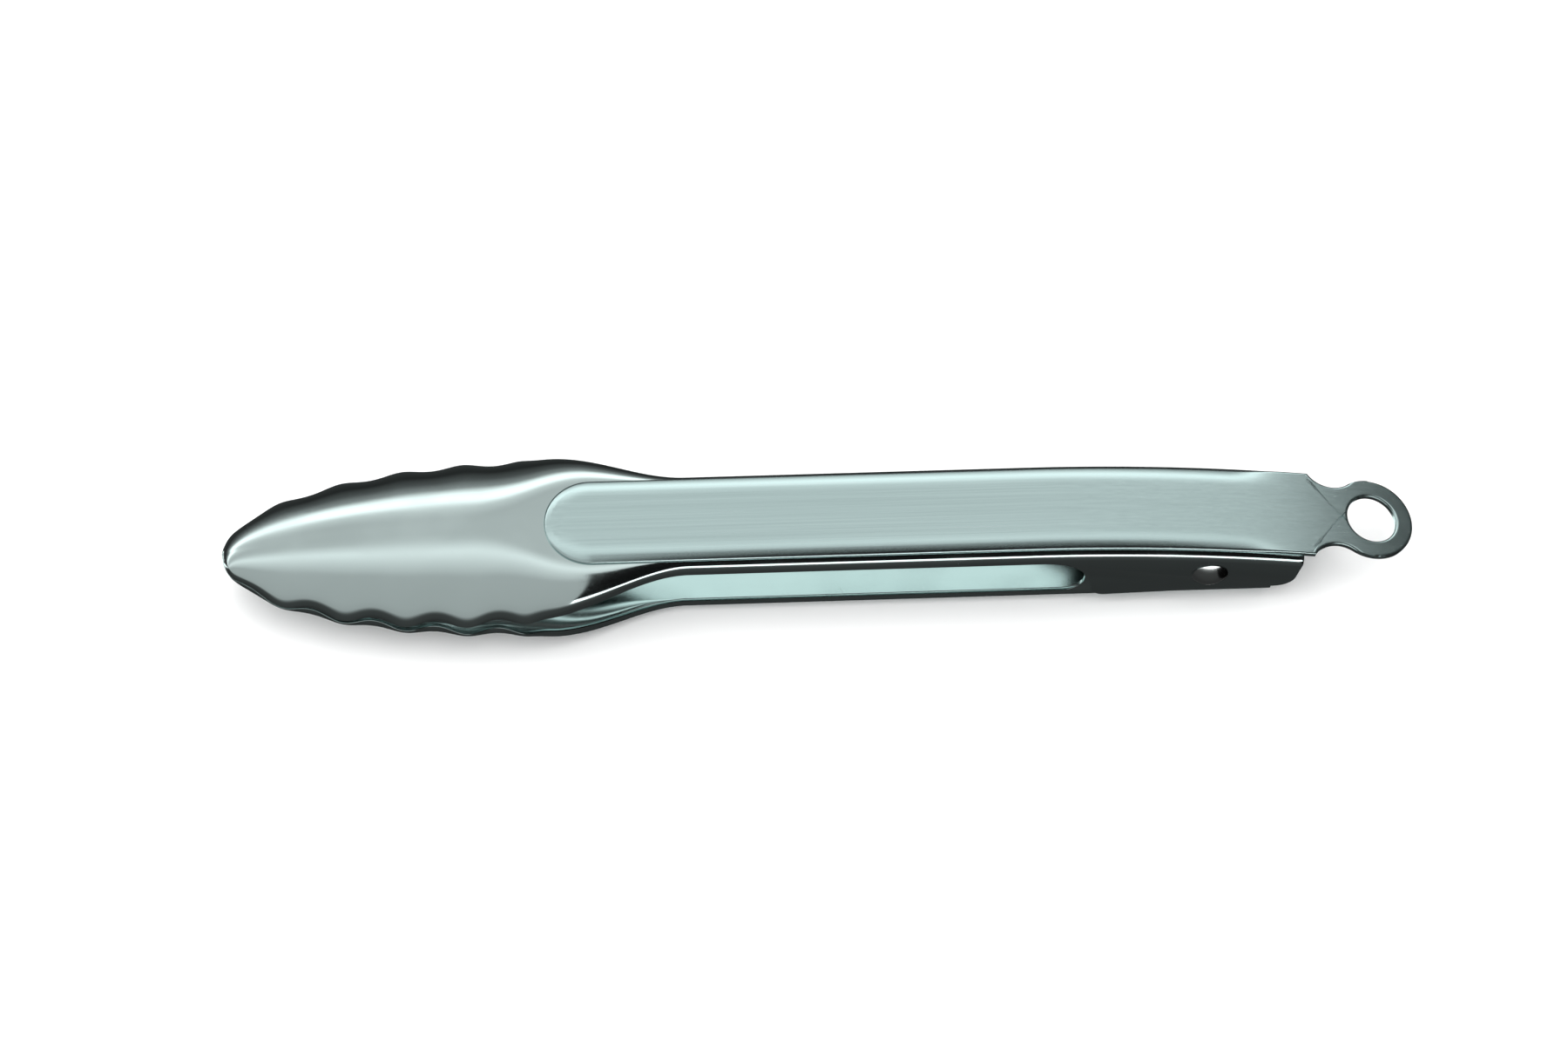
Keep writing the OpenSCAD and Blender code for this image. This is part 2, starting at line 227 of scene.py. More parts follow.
def mix(low: float, high: float, share: float) -> float:
    """The value that lies that share of the way from low to high."""
    return low + (high - low) * share


def unit(x: float) -> float:
    """x kept between 0 and 1."""
    return max(0.0, min(1.0, x))


def ease(x: float) -> float:
    """A smooth step from 0 to 1."""
    x = unit(x)
    return x * x * (3 - 2 * x)


def quarter(x: float, length: float, rise: float) -> float:
    """Height of a quarter ellipse at distance x into its length."""
    return rise * math.sqrt(max(0.0, 1 - (1 - unit(x / length)) ** 2))


def place(station: float, y: float, z: float) -> Vector:
    """A point in metres in the object's own frame.

    Args:
        station: Distance from the tips.
        y: Distance to the side.
        z: Height above the plane between the arms.

    Returns:
        The point.
    """
    return Vector(
        (
            (station - SIZES.overall_len / 2) * MM,
            y * MM,
            (z + SIZES.overall_h / 2) * MM,
        )
    )


def arc_points(centre: Point2, radius: float, start: float, end: float, steps: int) -> list[Point2]:
    """Points along an arc.

    Args:
        centre: Station and height of the arc's centre.
        radius: Radius in millimetres.
        start: First angle in degrees.
        end: Last angle in degrees.
        steps: Number of steps between them.

    Returns:
        The points, steps + 1 of them.
    """
    angles = [math.radians(mix(start, end, k / steps)) for k in range(steps + 1)]
    return [(centre[0] + radius * math.cos(a), centre[1] + radius * math.sin(a)) for a in angles]


# ---- Bench tools ----


def deselect_all() -> None:
    """Leave object mode with nothing selected."""
    if bpy.context.mode != "OBJECT":
        bpy.ops.object.mode_set(mode="OBJECT")
    bpy.ops.object.select_all(action="DESELECT")


def pick(obj: bpy.types.Object) -> None:
    """Make one object the only selected and active one.

    Args:
        obj: The object.
    """
    deselect_all()
    obj.select_set(True)
    bpy.context.view_layer.objects.active = obj


def named(name: str) -> bpy.types.Object:
    """Name the object that an operator just added, with its mesh.

    Args:
        name: Its name.

    Returns:
        The object.
    """
    obj = bpy.context.active_object
    obj.name = name
    obj.data.name = name
    return obj


def settle(obj: bpy.types.Object) -> None:
    """Put the object's place, turn and size into its mesh."""
    pick(obj)
    bpy.ops.object.transform_apply(location=True, rotation=True, scale=True)


def edit(obj: bpy.types.Object, mode: str = "FACE") -> None:
    """Enter edit mode on an object with nothing selected.

    Args:
        obj: The object.
        mode: What is to be selected: FACE, EDGE or VERT.
    """
    pick(obj)
    bpy.ops.object.mode_set(mode="EDIT")
    bpy.ops.mesh.select_mode(type=mode)
    bpy.ops.mesh.select_all(action="DESELECT")


def done() -> None:
    """Return to object mode."""
    bpy.ops.object.mode_set(mode="OBJECT")


def select_faces(obj: bpy.types.Object, test: Callable[[bpy.types.MeshPolygon], bool]) -> int:
    """Select the faces that pass a test, then enter edit mode.

    Args:
        obj: The mesh object.
        test: Says whether a face is wanted.

    Returns:
        How many faces were selected.
    """
    edit(obj, "FACE")
    done()
    count = 0
    for face in obj.data.polygons:
        face.select = bool(test(face))
        count += face.select
    bpy.ops.object.mode_set(mode="EDIT")
    return count


def apply_modifier(obj: bpy.types.Object, kind: str, **settings: Any) -> None:
    """Add a modifier with its settings and apply it.

    Args:
        obj: The object.
        kind: The modifier's type.
        **settings: Its properties.
    """
    pick(obj)
    modifier = obj.modifiers.new(kind.title(), kind)
    for key, value in settings.items():
        setattr(modifier, key, value)
    bpy.ops.object.modifier_apply(modifier=modifier.name)


def break_edges(
    obj: bpy.types.Object, width: float, segments: int = 2, angle: float = 40.0
) -> None:
    """Round every sharp edge of a finished piece a little.

    Args:
        obj: The piece.
        width: Width of the rounding in millimetres.
        segments: Number of facets across it.
        angle: Least angle between faces that counts as sharp, in degrees.
    """
    apply_modifier(
        obj,
        "BEVEL",
        width=width * MM,
        segments=segments,
        limit_method="ANGLE",
        angle_limit=math.radians(angle),
        use_clamp_overlap=False,
        miter_outer="MITER_ARC",
    )


def smooth(obj: bpy.types.Object, angle: float = 30.0) -> None:
    """Shade smooth across edges flatter than the angle."""
    pick(obj)
    bpy.ops.object.shade_smooth_by_angle(angle=math.radians(angle))


def join(parts: Sequence[bpy.types.Object]) -> bpy.types.Object:
    """Join parts into the first of them.

    Args:
        parts: The parts.

    Returns:
        The first part, which now holds them all.
    """
    deselect_all()
    for part in parts:
        part.select_set(True)
    bpy.context.view_layer.objects.active = parts[0]
    bpy.ops.object.join()
    return parts[0]


def weld(obj: bpy.types.Object, distance: float = 0.002) -> None:
    """Merge points that lie close together.

    Args:
        obj: The mesh object.
        distance: How close, in millimetres.
    """
    edit(obj, "VERT")
    bpy.ops.mesh.select_all(action="SELECT")
    bpy.ops.mesh.remove_doubles(threshold=distance * MM)
    done()


def face_outwards(obj: bpy.types.Object) -> None:
    """Make all normals of a piece agree and point out.

    Args:
        obj: The piece.
    """
    edit(obj, "FACE")
    bpy.ops.mesh.select_all(action="SELECT")
    bpy.ops.mesh.normals_make_consistent(inside=False)
    done()


def cut_blank(name: str, outline: Sequence[Vector]) -> bpy.types.Object:
    """Cut a flat blank to an outline.

    Args:
        name: Name of the blank.
        outline: Its corners in order, in metres.

    Returns:
        A mesh of one flat face.
    """
    deselect_all()
    bpy.ops.mesh.primitive_circle_add(vertices=len(outline), radius=0.01, fill_type="NGON")
    obj = named(name)
    for vertex, corner in zip(obj.data.vertices, outline):
        vertex.co = corner
    obj.data.update()
    return obj


def pull(obj: bpy.types.Object, move: Vector) -> None:
    """Extrude a whole blank into a closed solid.

    Args:
        obj: The blank.
        move: The way it is pulled, in metres.
    """
    edit(obj, "FACE")
    bpy.ops.mesh.select_all(action="SELECT")
    bpy.ops.mesh.extrude_region_move(TRANSFORM_OT_translate={"value": move})
    done()
    face_outwards(obj)


def cross_cylinder(
    name: str, station: float, z: float, radius: float, half: float, sides: int = 64
) -> bpy.types.Object:
    """A cylinder across the tongs.

    Args:
        name: Its name.
        station: Station of its axis.
        z: Height of its axis.
        radius: Radius in millimetres.
        half: Half its length in millimetres.
        sides: Number of facets round it.

    Returns:
        The cylinder, with its place in its mesh.
    """
    deselect_all()
    bpy.ops.mesh.primitive_cylinder_add(
        vertices=sides,
        radius=radius * MM,
        depth=2 * half * MM,
        rotation=(math.pi / 2, 0, 0),
        location=place(station, 0, z),
    )
    obj = named(name)
    settle(obj)
    return obj


def bore(obj: bpy.types.Object, tool: bpy.types.Object) -> None:
    """Cut a tool's shape out of a piece and throw the tool away.

    Args:
        obj: The piece.
        tool: The solid to cut away.
    """
    pick(obj)
    modifier = obj.modifiers.new("Bore", "BOOLEAN")
    modifier.operation = "DIFFERENCE"
    modifier.solver = "EXACT"
    modifier.object = tool
    bpy.ops.object.modifier_apply(modifier=modifier.name)
    bpy.data.objects.remove(tool)


def finish_piece(
    obj: bpy.types.Object,
    material: bpy.types.Material,
    body: Body | None,
    node: str,
) -> None:
    """Dress a piece and tie it to the frame.

    Args:
        obj: The piece.
        material: Its finish.
        body: The body it rides on, or None if it bends between two.
        node: The CAD node it stands for.
    """
    obj.data.materials.clear()
    obj.data.materials.append(material)
    if body is not None:
        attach(obj, body.value)
    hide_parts(node)
    obj.data.calc_loop_triangles()
    log.info("%s: %d triangles", obj.name, len(obj.data.loop_triangles))


# ---- Shader graph ----


class Wire:
    """One output socket, with arithmetic that adds Math nodes."""

    def __init__(self, graph: "Graph", socket: bpy.types.NodeSocket | None) -> None:
        """Keep the graph and the socket."""
        self.graph = graph
        self.socket = socket

    def _math(self, operation: str, *values: Any) -> "Wire":
        """A Math node on these values."""
        return self.graph.node("ShaderNodeMath", {"operation": operation}, *values)

    def __add__(self, other: Any) -> "Wire":
        """Sum."""
        return self._math("ADD", self, other)

    def __radd__(self, other: Any) -> "Wire":
        """Sum, reflected."""
        return self._math("ADD", other, self)

    def __sub__(self, other: Any) -> "Wire":
        """Difference."""
        return self._math("SUBTRACT", self, other)

    def __rsub__(self, other: Any) -> "Wire":
        """Difference, reflected."""
        return self._math("SUBTRACT", other, self)

    def __mul__(self, other: Any) -> "Wire":
        """Product."""
        return self._math("MULTIPLY", self, other)

    def __rmul__(self, other: Any) -> "Wire":
        """Product, reflected."""
        return self._math("MULTIPLY", other, self)

    def other(self, name: str) -> "Wire":
        """Another output of the same node."""
        return Wire(self.graph, self.socket.node.outputs[name])

    def over(self, low: float, high: float) -> "Wire":
        """A smooth step on this value.

        Args:
            low: Where it leaves 0.
            high: Where it reaches 1.

        Returns:
            A value from 0 to 1.
        """
        return self.graph.node(
            "ShaderNodeMapRange",
            {"interpolation_type": "SMOOTHSTEP"},
            self,
            low,
            high,
            0.0,
            1.0,
        )


class Graph:
    """The node tree of one material or world."""

    def __init__(self, owner: Any) -> None:
        """Empty the owner's node tree.

        Args:
            owner: A material or a world.
        """
        owner.use_nodes = True
        self.tree = owner.node_tree
        self.tree.nodes.clear()

    def node(
        self, kind: str, settings: dict[str, Any] | None = None, *values: Any, **named_values: Any
    ) -> Wire:
        """Add a node.

        Args:
            kind: The node's type.
            settings: Its properties, set first. "stops" gives a colour ramp's stops.
            *values: Values or wires of its sockets in order.
            **named_values: Values or wires of its sockets by name, with _ for a space.

        Returns:
            A wire from its first output.
        """
        node = self.tree.nodes.new(kind)
        for key, value in (settings or {}).items():
            if key == "stops":
                self._set_stops(node.color_ramp, value)
            else:
                setattr(node, key, value)
        sockets = list(zip([s for s in node.inputs if s.enabled], values))
        for key, value in named_values.items():
            sockets.append((node.inputs[key.replace("_", " ")], value))
        for socket, value in sockets:
            self.feed(socket, value)
        return Wire(self, next((s for s in node.outputs if s.enabled), None))

    @staticmethod
    def _set_stops(ramp: bpy.types.ColorRamp, stops: Sequence[Stop]) -> None:
        """Give a colour ramp its stops.

        Args:
            ramp: The ramp.
            stops: Places from 0 to 1 with their grey levels.
        """
        while len(ramp.elements) > 1:
            ramp.elements.remove(ramp.elements[-1])
        ramp.elements[0].position = stops[0][0]
        ramp.elements[0].color = (*[stops[0][1]] * 3, 1)
        for at, level in stops[1:]:
            element = ramp.elements.new(at)
            element.color = (level, level, level, 1)

    def feed(self, socket: bpy.types.NodeSocket, value: Any) -> None:
        """Set a socket to a value or link a wire to it.

        Args:
            socket: The input.
            value: A value, a wire, or None to leave it as it is.
        """
        if isinstance(value, Wire):
            self.tree.links.new(value.socket, socket)
        elif value is not None:
            socket.default_value = value

    def place_of(self, stretch: Sequence[float], turn: float = 0.0) -> Wire:
        """Object coordinates, scaled per axis and turned about Z.

        Args:
            stretch: Repeats per metre along X, Y and Z.
            turn: Turn about Z in radians.

        Returns:
            The vector.
        """
        coords = self.node("ShaderNodeTexCoord").other("Object")
        turned = self.node(
            "ShaderNodeMapping", {"vector_type": "POINT"}, Vector=coords, Rotation=(0, 0, turn)
        )
        return self.node(
            "ShaderNodeMapping", {"vector_type": "POINT"}, Vector=turned, Scale=tuple(stretch)
        )

    def noise(
        self, stretch: Sequence[float], detail: float = 2.0, rough: float = 0.5, turn: float = 0.0
    ) -> Wire:
        """Noise over the piece.

        Args:
            stretch: Repeats per metre along X, Y and Z.
            detail: Octaves.
            rough: How strong the small octaves are.
            turn: Turn about Z in radians.

        Returns:
            A grey value round one half.
        """
        return self.node(
            "ShaderNodeTexNoise",
            None,
            Vector=self.place_of(stretch, turn),
            Scale=1.0,
            Detail=detail,
            Roughness=rough,
        )

    def blend(self, share: Any, low: Any, high: Any, how: str = "MIX") -> Wire:
        """Mix two colours.

        Args:
            share: The factor.
            low: The first colour.
            high: The second colour.
            how: Blender's name for the way they mix.

        Returns:
            The mixed colour.
        """
        settings = {"data_type": "RGBA", "blend_type": how}
        return self.node("ShaderNodeMix", settings, share, low, high)

    def bump(self, height: Wire, depth: float, below: Wire | None = None) -> Wire:
        """A Bump node.

        Args:
            height: The pattern, 0 to 1.
            depth: Its depth in metres.
            below: Another bump that it adds to.

        Returns:
            The normal.
        """
        return self.node(
            "ShaderNodeBump",
            None,
            Strength=1.0,
            Distance=depth,
            Height=height,
            Normal=below,
        )

    def metal(self, colour: Any, roughness: Any, normal: Wire, **constants: Any) -> None:
        """Close the graph with a metal shader.

        Args:
            colour: Base colour.
            roughness: Roughness.
            normal: The bumped normal.
            **constants: Sockets of the shader that are the same all over.
        """
        shader = self.node(
            "ShaderNodeBsdfPrincipled",
            None,
            Base_Color=colour,
            Roughness=roughness,
            Normal=normal,
            Metallic=1.0,
            **constants,
        )
        self.node("ShaderNodeOutputMaterial", None, Surface=shader)


@dataclass(frozen=True)
class PolishedSteel:
    """Mirror-polished pressed sheet: faint waves, buffing haze and hairline scratches."""

    name: str = "polished_steel"
    light: Point3 = (0.62, 0.725, 0.718)
    dark: Point3 = (0.56, 0.66, 0.652)
    roughness: float = 0.085
    haze: float = 0.07
    buffed: float = 0.03
    scratched: float = 0.12
    wave_depth: float = 0.00006
    scratch_depth: float = 0.0000012

    def material(self) -> bpy.types.Material:
        """The finish as a material.

        Returns:
            The material.
        """
        material = bpy.data.materials.new(self.name)
        graph = Graph(material)
        cloud = graph.noise((55, 70, 70), 3.0)
        buff = graph.noise((90, 2200, 2200), 4.0, 0.65, 0.05)
        cross = graph.noise((160, 5200, 2600), 2.0, 0.6, 1.1).over(0.66, 0.78)
        along = graph.noise((70, 4600, 4600), 2.0, 0.6, -0.16).over(0.68, 0.8)
        scratch = cross + along
        colour = graph.blend(cloud, (*self.dark, 1), (*self.light, 1))
        rough = self.roughness + cloud.over(0.42, 0.72) * self.haze
        rough = rough + buff * self.buffed + scratch * self.scratched
        wave = graph.bump(graph.noise((42, 60, 60), 1.0), self.wave_depth)
        hair = graph.bump(buff - scratch, self.scratch_depth, wave)
        graph.metal(colour, rough, hair)
        return material


@dataclass(frozen=True)
class BrushedSteel:
    """Steel brushed along its length, with long soft streaks and a few deeper lines."""

    name: str = "brushed_steel"
    light: Point3 = (0.61, 0.765, 0.76)
    dark: Point3 = (0.52, 0.66, 0.655)
    roughness: float = 0.16
    spread: float = 0.16
    deep_rough: float = 0.05
    deep_share: float = 0.15
    line_depth: float = 0.000002

    def material(self) -> bpy.types.Material:
        """The finish as a material.

        Returns:
            The material.
        """
        material = bpy.data.materials.new(self.name)
        graph = Graph(material)
        fine = graph.noise((14, 5200, 5200), 5.0, 0.75)
        middle = graph.noise((7, 1300, 1300), 4.0, 0.7)
        broad = graph.noise((9, 190, 190), 3.0, 0.6)
        deep = graph.noise((16, 3200, 3200), 2.0, 0.6).over(0.66, 0.8)
        grain = fine * 0.45 + middle * 0.35 + broad * 0.2
        colour = graph.blend(grain.over(0.3, 0.7), (*self.dark, 1), (*self.light, 1))
        rough = self.roughness + grain * self.spread + deep * self.deep_rough
        lines = graph.bump(grain - deep * self.deep_share, self.line_depth)
        graph.metal(colour, rough, lines)
        return material


@dataclass(frozen=True)
class RivetSteel:
    """Turned and polished steel: fine rings round the hinge's axis, under small scuffs."""

    name: str = "rivet_steel"
    light: Point3 = (0.72, 0.76, 0.75)
    dark: Point3 = (0.58, 0.62, 0.61)
    roughness: float = 0.1
    ring_rough: float = 0.08
    scuff_rough: float = 0.14
    rings_per_metre: float = 9000.0
    ring_depth: float = 0.0000015

    def material(self) -> bpy.types.Material:
        """The finish as a material.

        Returns:
            The material.
        """
        material = bpy.data.materials.new(self.name)
        graph = Graph(material)
        centre = place(SIZES.hinge, 0, 0)
        coords = graph.node("ShaderNodeTexCoord").other("Object")
        centred = graph.node(
            "ShaderNodeVectorMath", {"operation": "SUBTRACT"}, coords, (centre.x, 0, centre.z)
        )
        flat = graph.node("ShaderNodeVectorMath", {"operation": "MULTIPLY"}, centred, (1, 0, 1))
        out = graph.node("ShaderNodeVectorMath", {"operation": "LENGTH"}, flat).other("Value")
        rings = graph.node(
            "ShaderNodeTexNoise",
            {"noise_dimensions": "1D"},
            W=out * self.rings_per_metre,
            Detail=3.0,
        )
        scuff = graph.noise((900, 900, 2500), 3.0, 0.6, 0.4).over(0.62, 0.78)
        colour = graph.blend(rings, (*self.dark, 1), (*self.light, 1))
        rough = self.roughness + rings * self.ring_rough + scuff * self.scuff_rough
        turned = graph.bump(rings - scuff * 0.4, self.ring_depth)
        graph.metal(colour, rough, turned)
        return material


@dataclass(frozen=True)
class SpringSteel:
    """Drawn spring steel: dull, with draw marks and darker patches."""

    name: str = "spring_steel"
    light: Point3 = (0.56, 0.58, 0.58)
    dark: Point3 = (0.36, 0.38, 0.38)
    roughness: float = 0.26
    patch_rough: float = 0.16
    mark_rough: float = 0.08
    patch_depth: float = 0.00002
    mark_depth: float = 0.000003

    def material(self) -> bpy.types.Material:
        """The finish as a material.

        Returns:
            The material.
        """
        material = bpy.data.materials.new(self.name)
        graph = Graph(material)
        patch = graph.noise((320, 320, 320), 4.0, 0.6)
        marks = graph.noise((900, 5200, 900), 3.0, 0.65)
        colour = graph.blend(patch.over(0.35, 0.7), (*self.dark, 1), (*self.light, 1))
        rough = self.roughness + patch * self.patch_rough + marks * self.mark_rough
        drawn = graph.bump(marks, self.mark_depth, graph.bump(patch, self.patch_depth))
        graph.metal(colour, rough, drawn)
        return material


# ---- Arms ----


@dataclass
class PressedArm:
    """One arm: a spoon head with a scalloped rim, a channel grip and two hinge ears."""

    name: str
    body: Body
    grip_half: float
    flip: int = 1
    head_rows: int = 230
    wall_steps: int = 5
    round_steps: int = 22
    flat_steps: int = 3
    tail_rows: int = 46
    nose_half: float = 0.3
    nose_wall: float = 1.4
    crown_flat: float = 0.08
    crown_drop: float = 0.93
    rim_rise: float = 1.5
    rim_rise_len: float = 60.0
    rim_from: float = 72.0
    rim_len: float = 44.0
    scallop_in: float = 4.0
    scallop_to: float = 84.0
    scallop_out: float = 12.0
    flat_from: float = 62.0
    flat_len: float = 30.0
    corner_from: float = 70.0
    corner_len: float = 40.0
    tip_crowding: float = 0.8
    grip_rows: int = 10
    inner_shift: float = 2.0
    nose_slack: float = 0.0001
    web_facing: float = 0.99
    rim_break: float = 0.14

    # Shape of the head and the grip, as the press leaves it

    def narrowing(self, s: float) -> float:
        """How far the head has narrowed into the grip at a station."""
        return ease((s - SIZES.narrow_from) / SIZES.narrow_len)

    def rim_height(self, s: float) -> float:
        """Height of the rim at a station."""
        head = SIZES.tip_gap / 2 + self.rim_rise * (s / self.rim_rise_len) ** 2
        return mix(head, SIZES.rim_top, ease((s - self.rim_from) / self.rim_len))

    def scallop(self, s: float) -> float:
        """How far the rim stands out in a scallop.

        Args:
            s: The station.

        Returns:
            The distance, below 0 in a dip.
        """
        before = math.pi * (SIZES.first_scallop - s) / (SIZES.scallop_pitch / 2)
        after = 2 * math.pi * (s - SIZES.first_scallop) / SIZES.scallop_pitch
        fade = ease(s / self.scallop_in) * ease((self.scallop_to - s) / self.scallop_out)
        return SIZES.scallop_h * fade * math.cos(before if s < SIZES.first_scallop else after)

    def half_width(self, s: float, inset: float) -> float:
        """Half the width of the sheet.

        Args:
            s: The station.
            inset: 0 for the outside, the sheet's thickness for the inside.

        Returns:
            The half width.
        """
        head_half = SIZES.head_w / 2
        head = quarter(s - inset, SIZES.round_len - inset, head_half - inset)
        return max(self.nose_half, mix(head, self.grip_half - inset, self.narrowing(s)))

    def crown_height(self, s: float, inset: float) -> float:
        """Height of the back at a station, inset in the same way."""
        crown = quarter(s - inset, SIZES.crown_len - inset, SIZES.web_top - inset)
        return max(self.nose_wall - inset / 2, crown)

    def section(self, s: float, inset: float = 0.0) -> list[Point2]:
        """The cross-section at a station.

        Args:
            s: The station.
            inset: 0 for the outside, the sheet's thickness for the inside.

        Returns:
            Points [y, z] from the right rim over the spine to the left rim.
        """
        w = self.half_width(s, inset)
        crown = self.crown_height(s, inset)
        rim = self.rim_height(s)
        bend = SIZES.bend_r - inset
        narrow_flat = min(self.crown_flat * w, w)
        widening = ease((s - self.flat_from) / self.flat_len)
        flat = mix(narrow_flat, self.grip_half - SIZES.bend_r, widening)
        round_w = max(bend * unit(w / (SIZES.head_w / 2)), w - flat)
        tightening = ease((s - self.corner_from) / self.corner_len)
        round_h = mix(self.crown_drop * (crown - rim), bend, tightening)
        points: list[Point2] = []
        for k in range(self.wall_steps):
            points.append((w, mix(rim, crown - round_h, k / self.wall_steps)))
        for k in range(self.round_steps + 1):
            turn = math.pi / 2 * k / self.round_steps
            points.append(
                (w - round_w + round_w * math.cos(turn), crown - round_h + round_h * math.sin(turn))
            )
        edge = w - round_w
        for k in range(1, self.flat_steps + 1):
            points.append((edge * (1 - k / self.flat_steps), crown))
        stand = self.scallop(s)
        waved = []
        for y, z in points:
            lift = unit((z - rim) / max(0.1, crown - rim))
            waved.append((y + stand * (1 - lift) ** 2 * (y > 0), z))
        left = [(-y, z) for y, z in reversed(waved[:-1])]
        return waved + left

    # The sheet as rows of points from the tip to the tail

    def head_station(self, i: int) -> float:
        """Station of row i of the head; rows crowd together toward the tip."""
        turn = math.pi / 2 * (i / self.head_rows) ** self.tip_crowding
        return SIZES.narrow_end * (1 - math.cos(turn))

    def rows_behind(self) -> list[Row]:
        """The rows behind the head: on the straight by station, on the curve by angle."""
        raise NotImplementedError

    def ear_row(self) -> Row:
        """The row at which the flange ends and the ear begins."""
        raise NotImplementedError

    def ear_outline(self) -> list[Point2]:
        """The ear's edge, [station, height], from the flange's edge to the end of the arm."""
        raise NotImplementedError

    def row_points(self, row: Row) -> list[Point3]:
        """Points of one row of the sheet.

        Args:
            row: How and where the row is placed.

        Returns:
            The points, as station, y and height.
        """
        kind, at = row
        if kind is Run.CURVE:
            points = []
            for y, z in self.section(SIZES.narrow_end):
                s, height = SIZES.on_tail(at, z - SIZES.curve_z)
                points.append((s, y, height))
            return points
        return [(at, y, z) for y, z in self.section(min(at, SIZES.narrow_end))]

    def build(self) -> bpy.types.Object:
        """Press the sheet, cut the ears and round the edges.

        Returns:
            The finished arm.
        """
        rows = [(Run.STRAIGHT, self.head_station(i)) for i in range(self.head_rows + 1)]
        rows += self.rows_behind()
        ear_from = rows.index(self.ear_row())
        grid = [self.row_points(row) for row in rows]
        count = len(grid[0])
        deselect_all()
        bpy.ops.mesh.primitive_grid_add(
            x_subdivisions=len(rows) - 1, y_subdivisions=count - 1, size=2
        )
        arm = named(self.name)
        mesh = arm.data
        cells = []
        for vertex in mesh.vertices:
            i = round((vertex.co.x + 1) / 2 * (len(rows) - 1))
            j = round((vertex.co.y + 1) / 2 * (count - 1))
            cells.append((i, j))
            s, y, z = grid[i][j]
            vertex.co = place(s, y, z * self.flip)
        for key, which in (("row", 0), ("column", 1)):
            mesh.attributes.new(key, "INT", "POINT")
            mesh.attributes[key].data.foreach_set("value", [cell[which] for cell in cells])
        mesh.update()
        self._trim_walls(arm, ear_from, count)
        blanks = [self._ear_blank(grid, ear_from, side) for side in (1, -1)]
        arm = join([arm, *blanks])
        weld(arm)
        self._close_nose(arm)
        self._face_out(arm)
        arm = self._thicken(arm, rows)
        break_edges(arm, self.rim_break, 2, 50)
        return arm

    def _trim_walls(self, arm: bpy.types.Object, ear_from: int, count: int) -> None:
        """Cut away the flanges' walls where the ears take their place.

        Args:
            arm: The open sheet.
            ear_from: First row of the ear.
            count: Points in a row.
        """
        mesh = arm.data
        rows = [cell.value for cell in mesh.attributes["row"].data]
        columns = [cell.value for cell in mesh.attributes["column"].data]

        def in_wall(face: bpy.types.MeshPolygon) -> bool:
            """Whether a face lies in a wall behind the ear's first row.

            Args:
                face: The face.

            Returns:
                True if it does.
            """
            r = [rows[v] for v in face.vertices]
            c = [columns[v] for v in face.vertices]
            right = max(c) <= self.wall_steps
            left = min(c) >= count - 1 - self.wall_steps
            return min(r) >= ear_from and (right or left)

        select_faces(arm, in_wall)
        bpy.ops.mesh.delete(type="FACE")
        done()

    def _ear_blank(self, grid: list[list[Point3]], ear_from: int, side: int) -> bpy.types.Object:
        """Cut one ear's blank, which meets the grid along the bend.

        Args:
            grid: The sheet's points.
            ear_from: First row of the ear.
            side: 1 for the right ear, -1 for the left.

        Returns:
            The blank.
        """
        bend = self.wall_steps
        first = grid[ear_from]
        wall = [(first[k][0], first[k][2]) for k in range(1, bend)]
        top = [(row[bend][0], row[bend][2]) for row in grid[ear_from:]]
        # From the ear's own edge, up the end and back along the bend, then down the wall
        outline = self.ear_outline() + list(reversed(top)) + list(reversed(wall))
        corners = [place(s, side * self.grip_half, z * self.flip) for s, z in outline]
        return cut_blank(f"{self.name}_ear", corners)

    def _close_nose(self, arm: bpy.types.Object) -> None:
        """Fill the tiny flat at the tip.

        Args:
            arm: The open sheet.
        """
        edit(arm, "VERT")
        done()
        tip = place(self.nose_slack, 0, 0).x
        for vertex in arm.data.vertices:
            vertex.select = vertex.co.x < tip
        bpy.ops.object.mode_set(mode="EDIT")
        bpy.ops.mesh.edge_face_add()
        done()

    def _face_out(self, arm: bpy.types.Object) -> None:
        """Turn the open sheet's outside outwards.

        Args:
            arm: The open sheet.
        """
        face_outwards(arm)
        web = [f for f in arm.data.polygons if abs(f.normal.z) > self.web_facing]
        if sum(f.normal.z * f.area for f in web) * self.flip < 0:
            edit(arm, "FACE")
            bpy.ops.mesh.select_all(action="SELECT")
            bpy.ops.mesh.flip_normals()
            done()

    def _thicken(self, arm: bpy.types.Object, rows: list[Row]) -> bpy.types.Object:
        """Give the sheet its thickness and press the inside of the head to its own shape.

        Args:
            arm: The open sheet.
            rows: How and where each row is placed.

        Returns:
            The arm as a closed solid.
        """
        outer = len(arm.data.vertices)
        apply_modifier(
            arm, "SOLIDIFY", thickness=SIZES.sheet * MM, offset=-1.0, use_even_offset=True
        )
        mesh = arm.data
        row_of = [cell.value for cell in mesh.attributes["row"].data]
        column_of = [cell.value for cell in mesh.attributes["column"].data]
        inner_rows: dict[int, list[Point2]] = {}
        for vertex in mesh.vertices[outer:]:
            i, j = row_of[vertex.index], column_of[vertex.index]
            run, at = rows[i]
            moved = abs(vertex.co.x - place(at, 0, 0).x) > self.inner_shift * MM
            if run is Run.CURVE or at >= SIZES.narrow_end or moved:
                continue
            s = mix(SIZES.sheet, SIZES.narrow_end, at / SIZES.narrow_end)
            if i not in inner_rows:
                inner_rows[i] = self.section(s, SIZES.sheet)
            y, z = inner_rows[i][j]
            if j in (0, len(inner_rows[i]) - 1):
                z = self.rim_height(at)
            vertex.co = place(s, y, z * self.flip)
        mesh.update()
        return arm


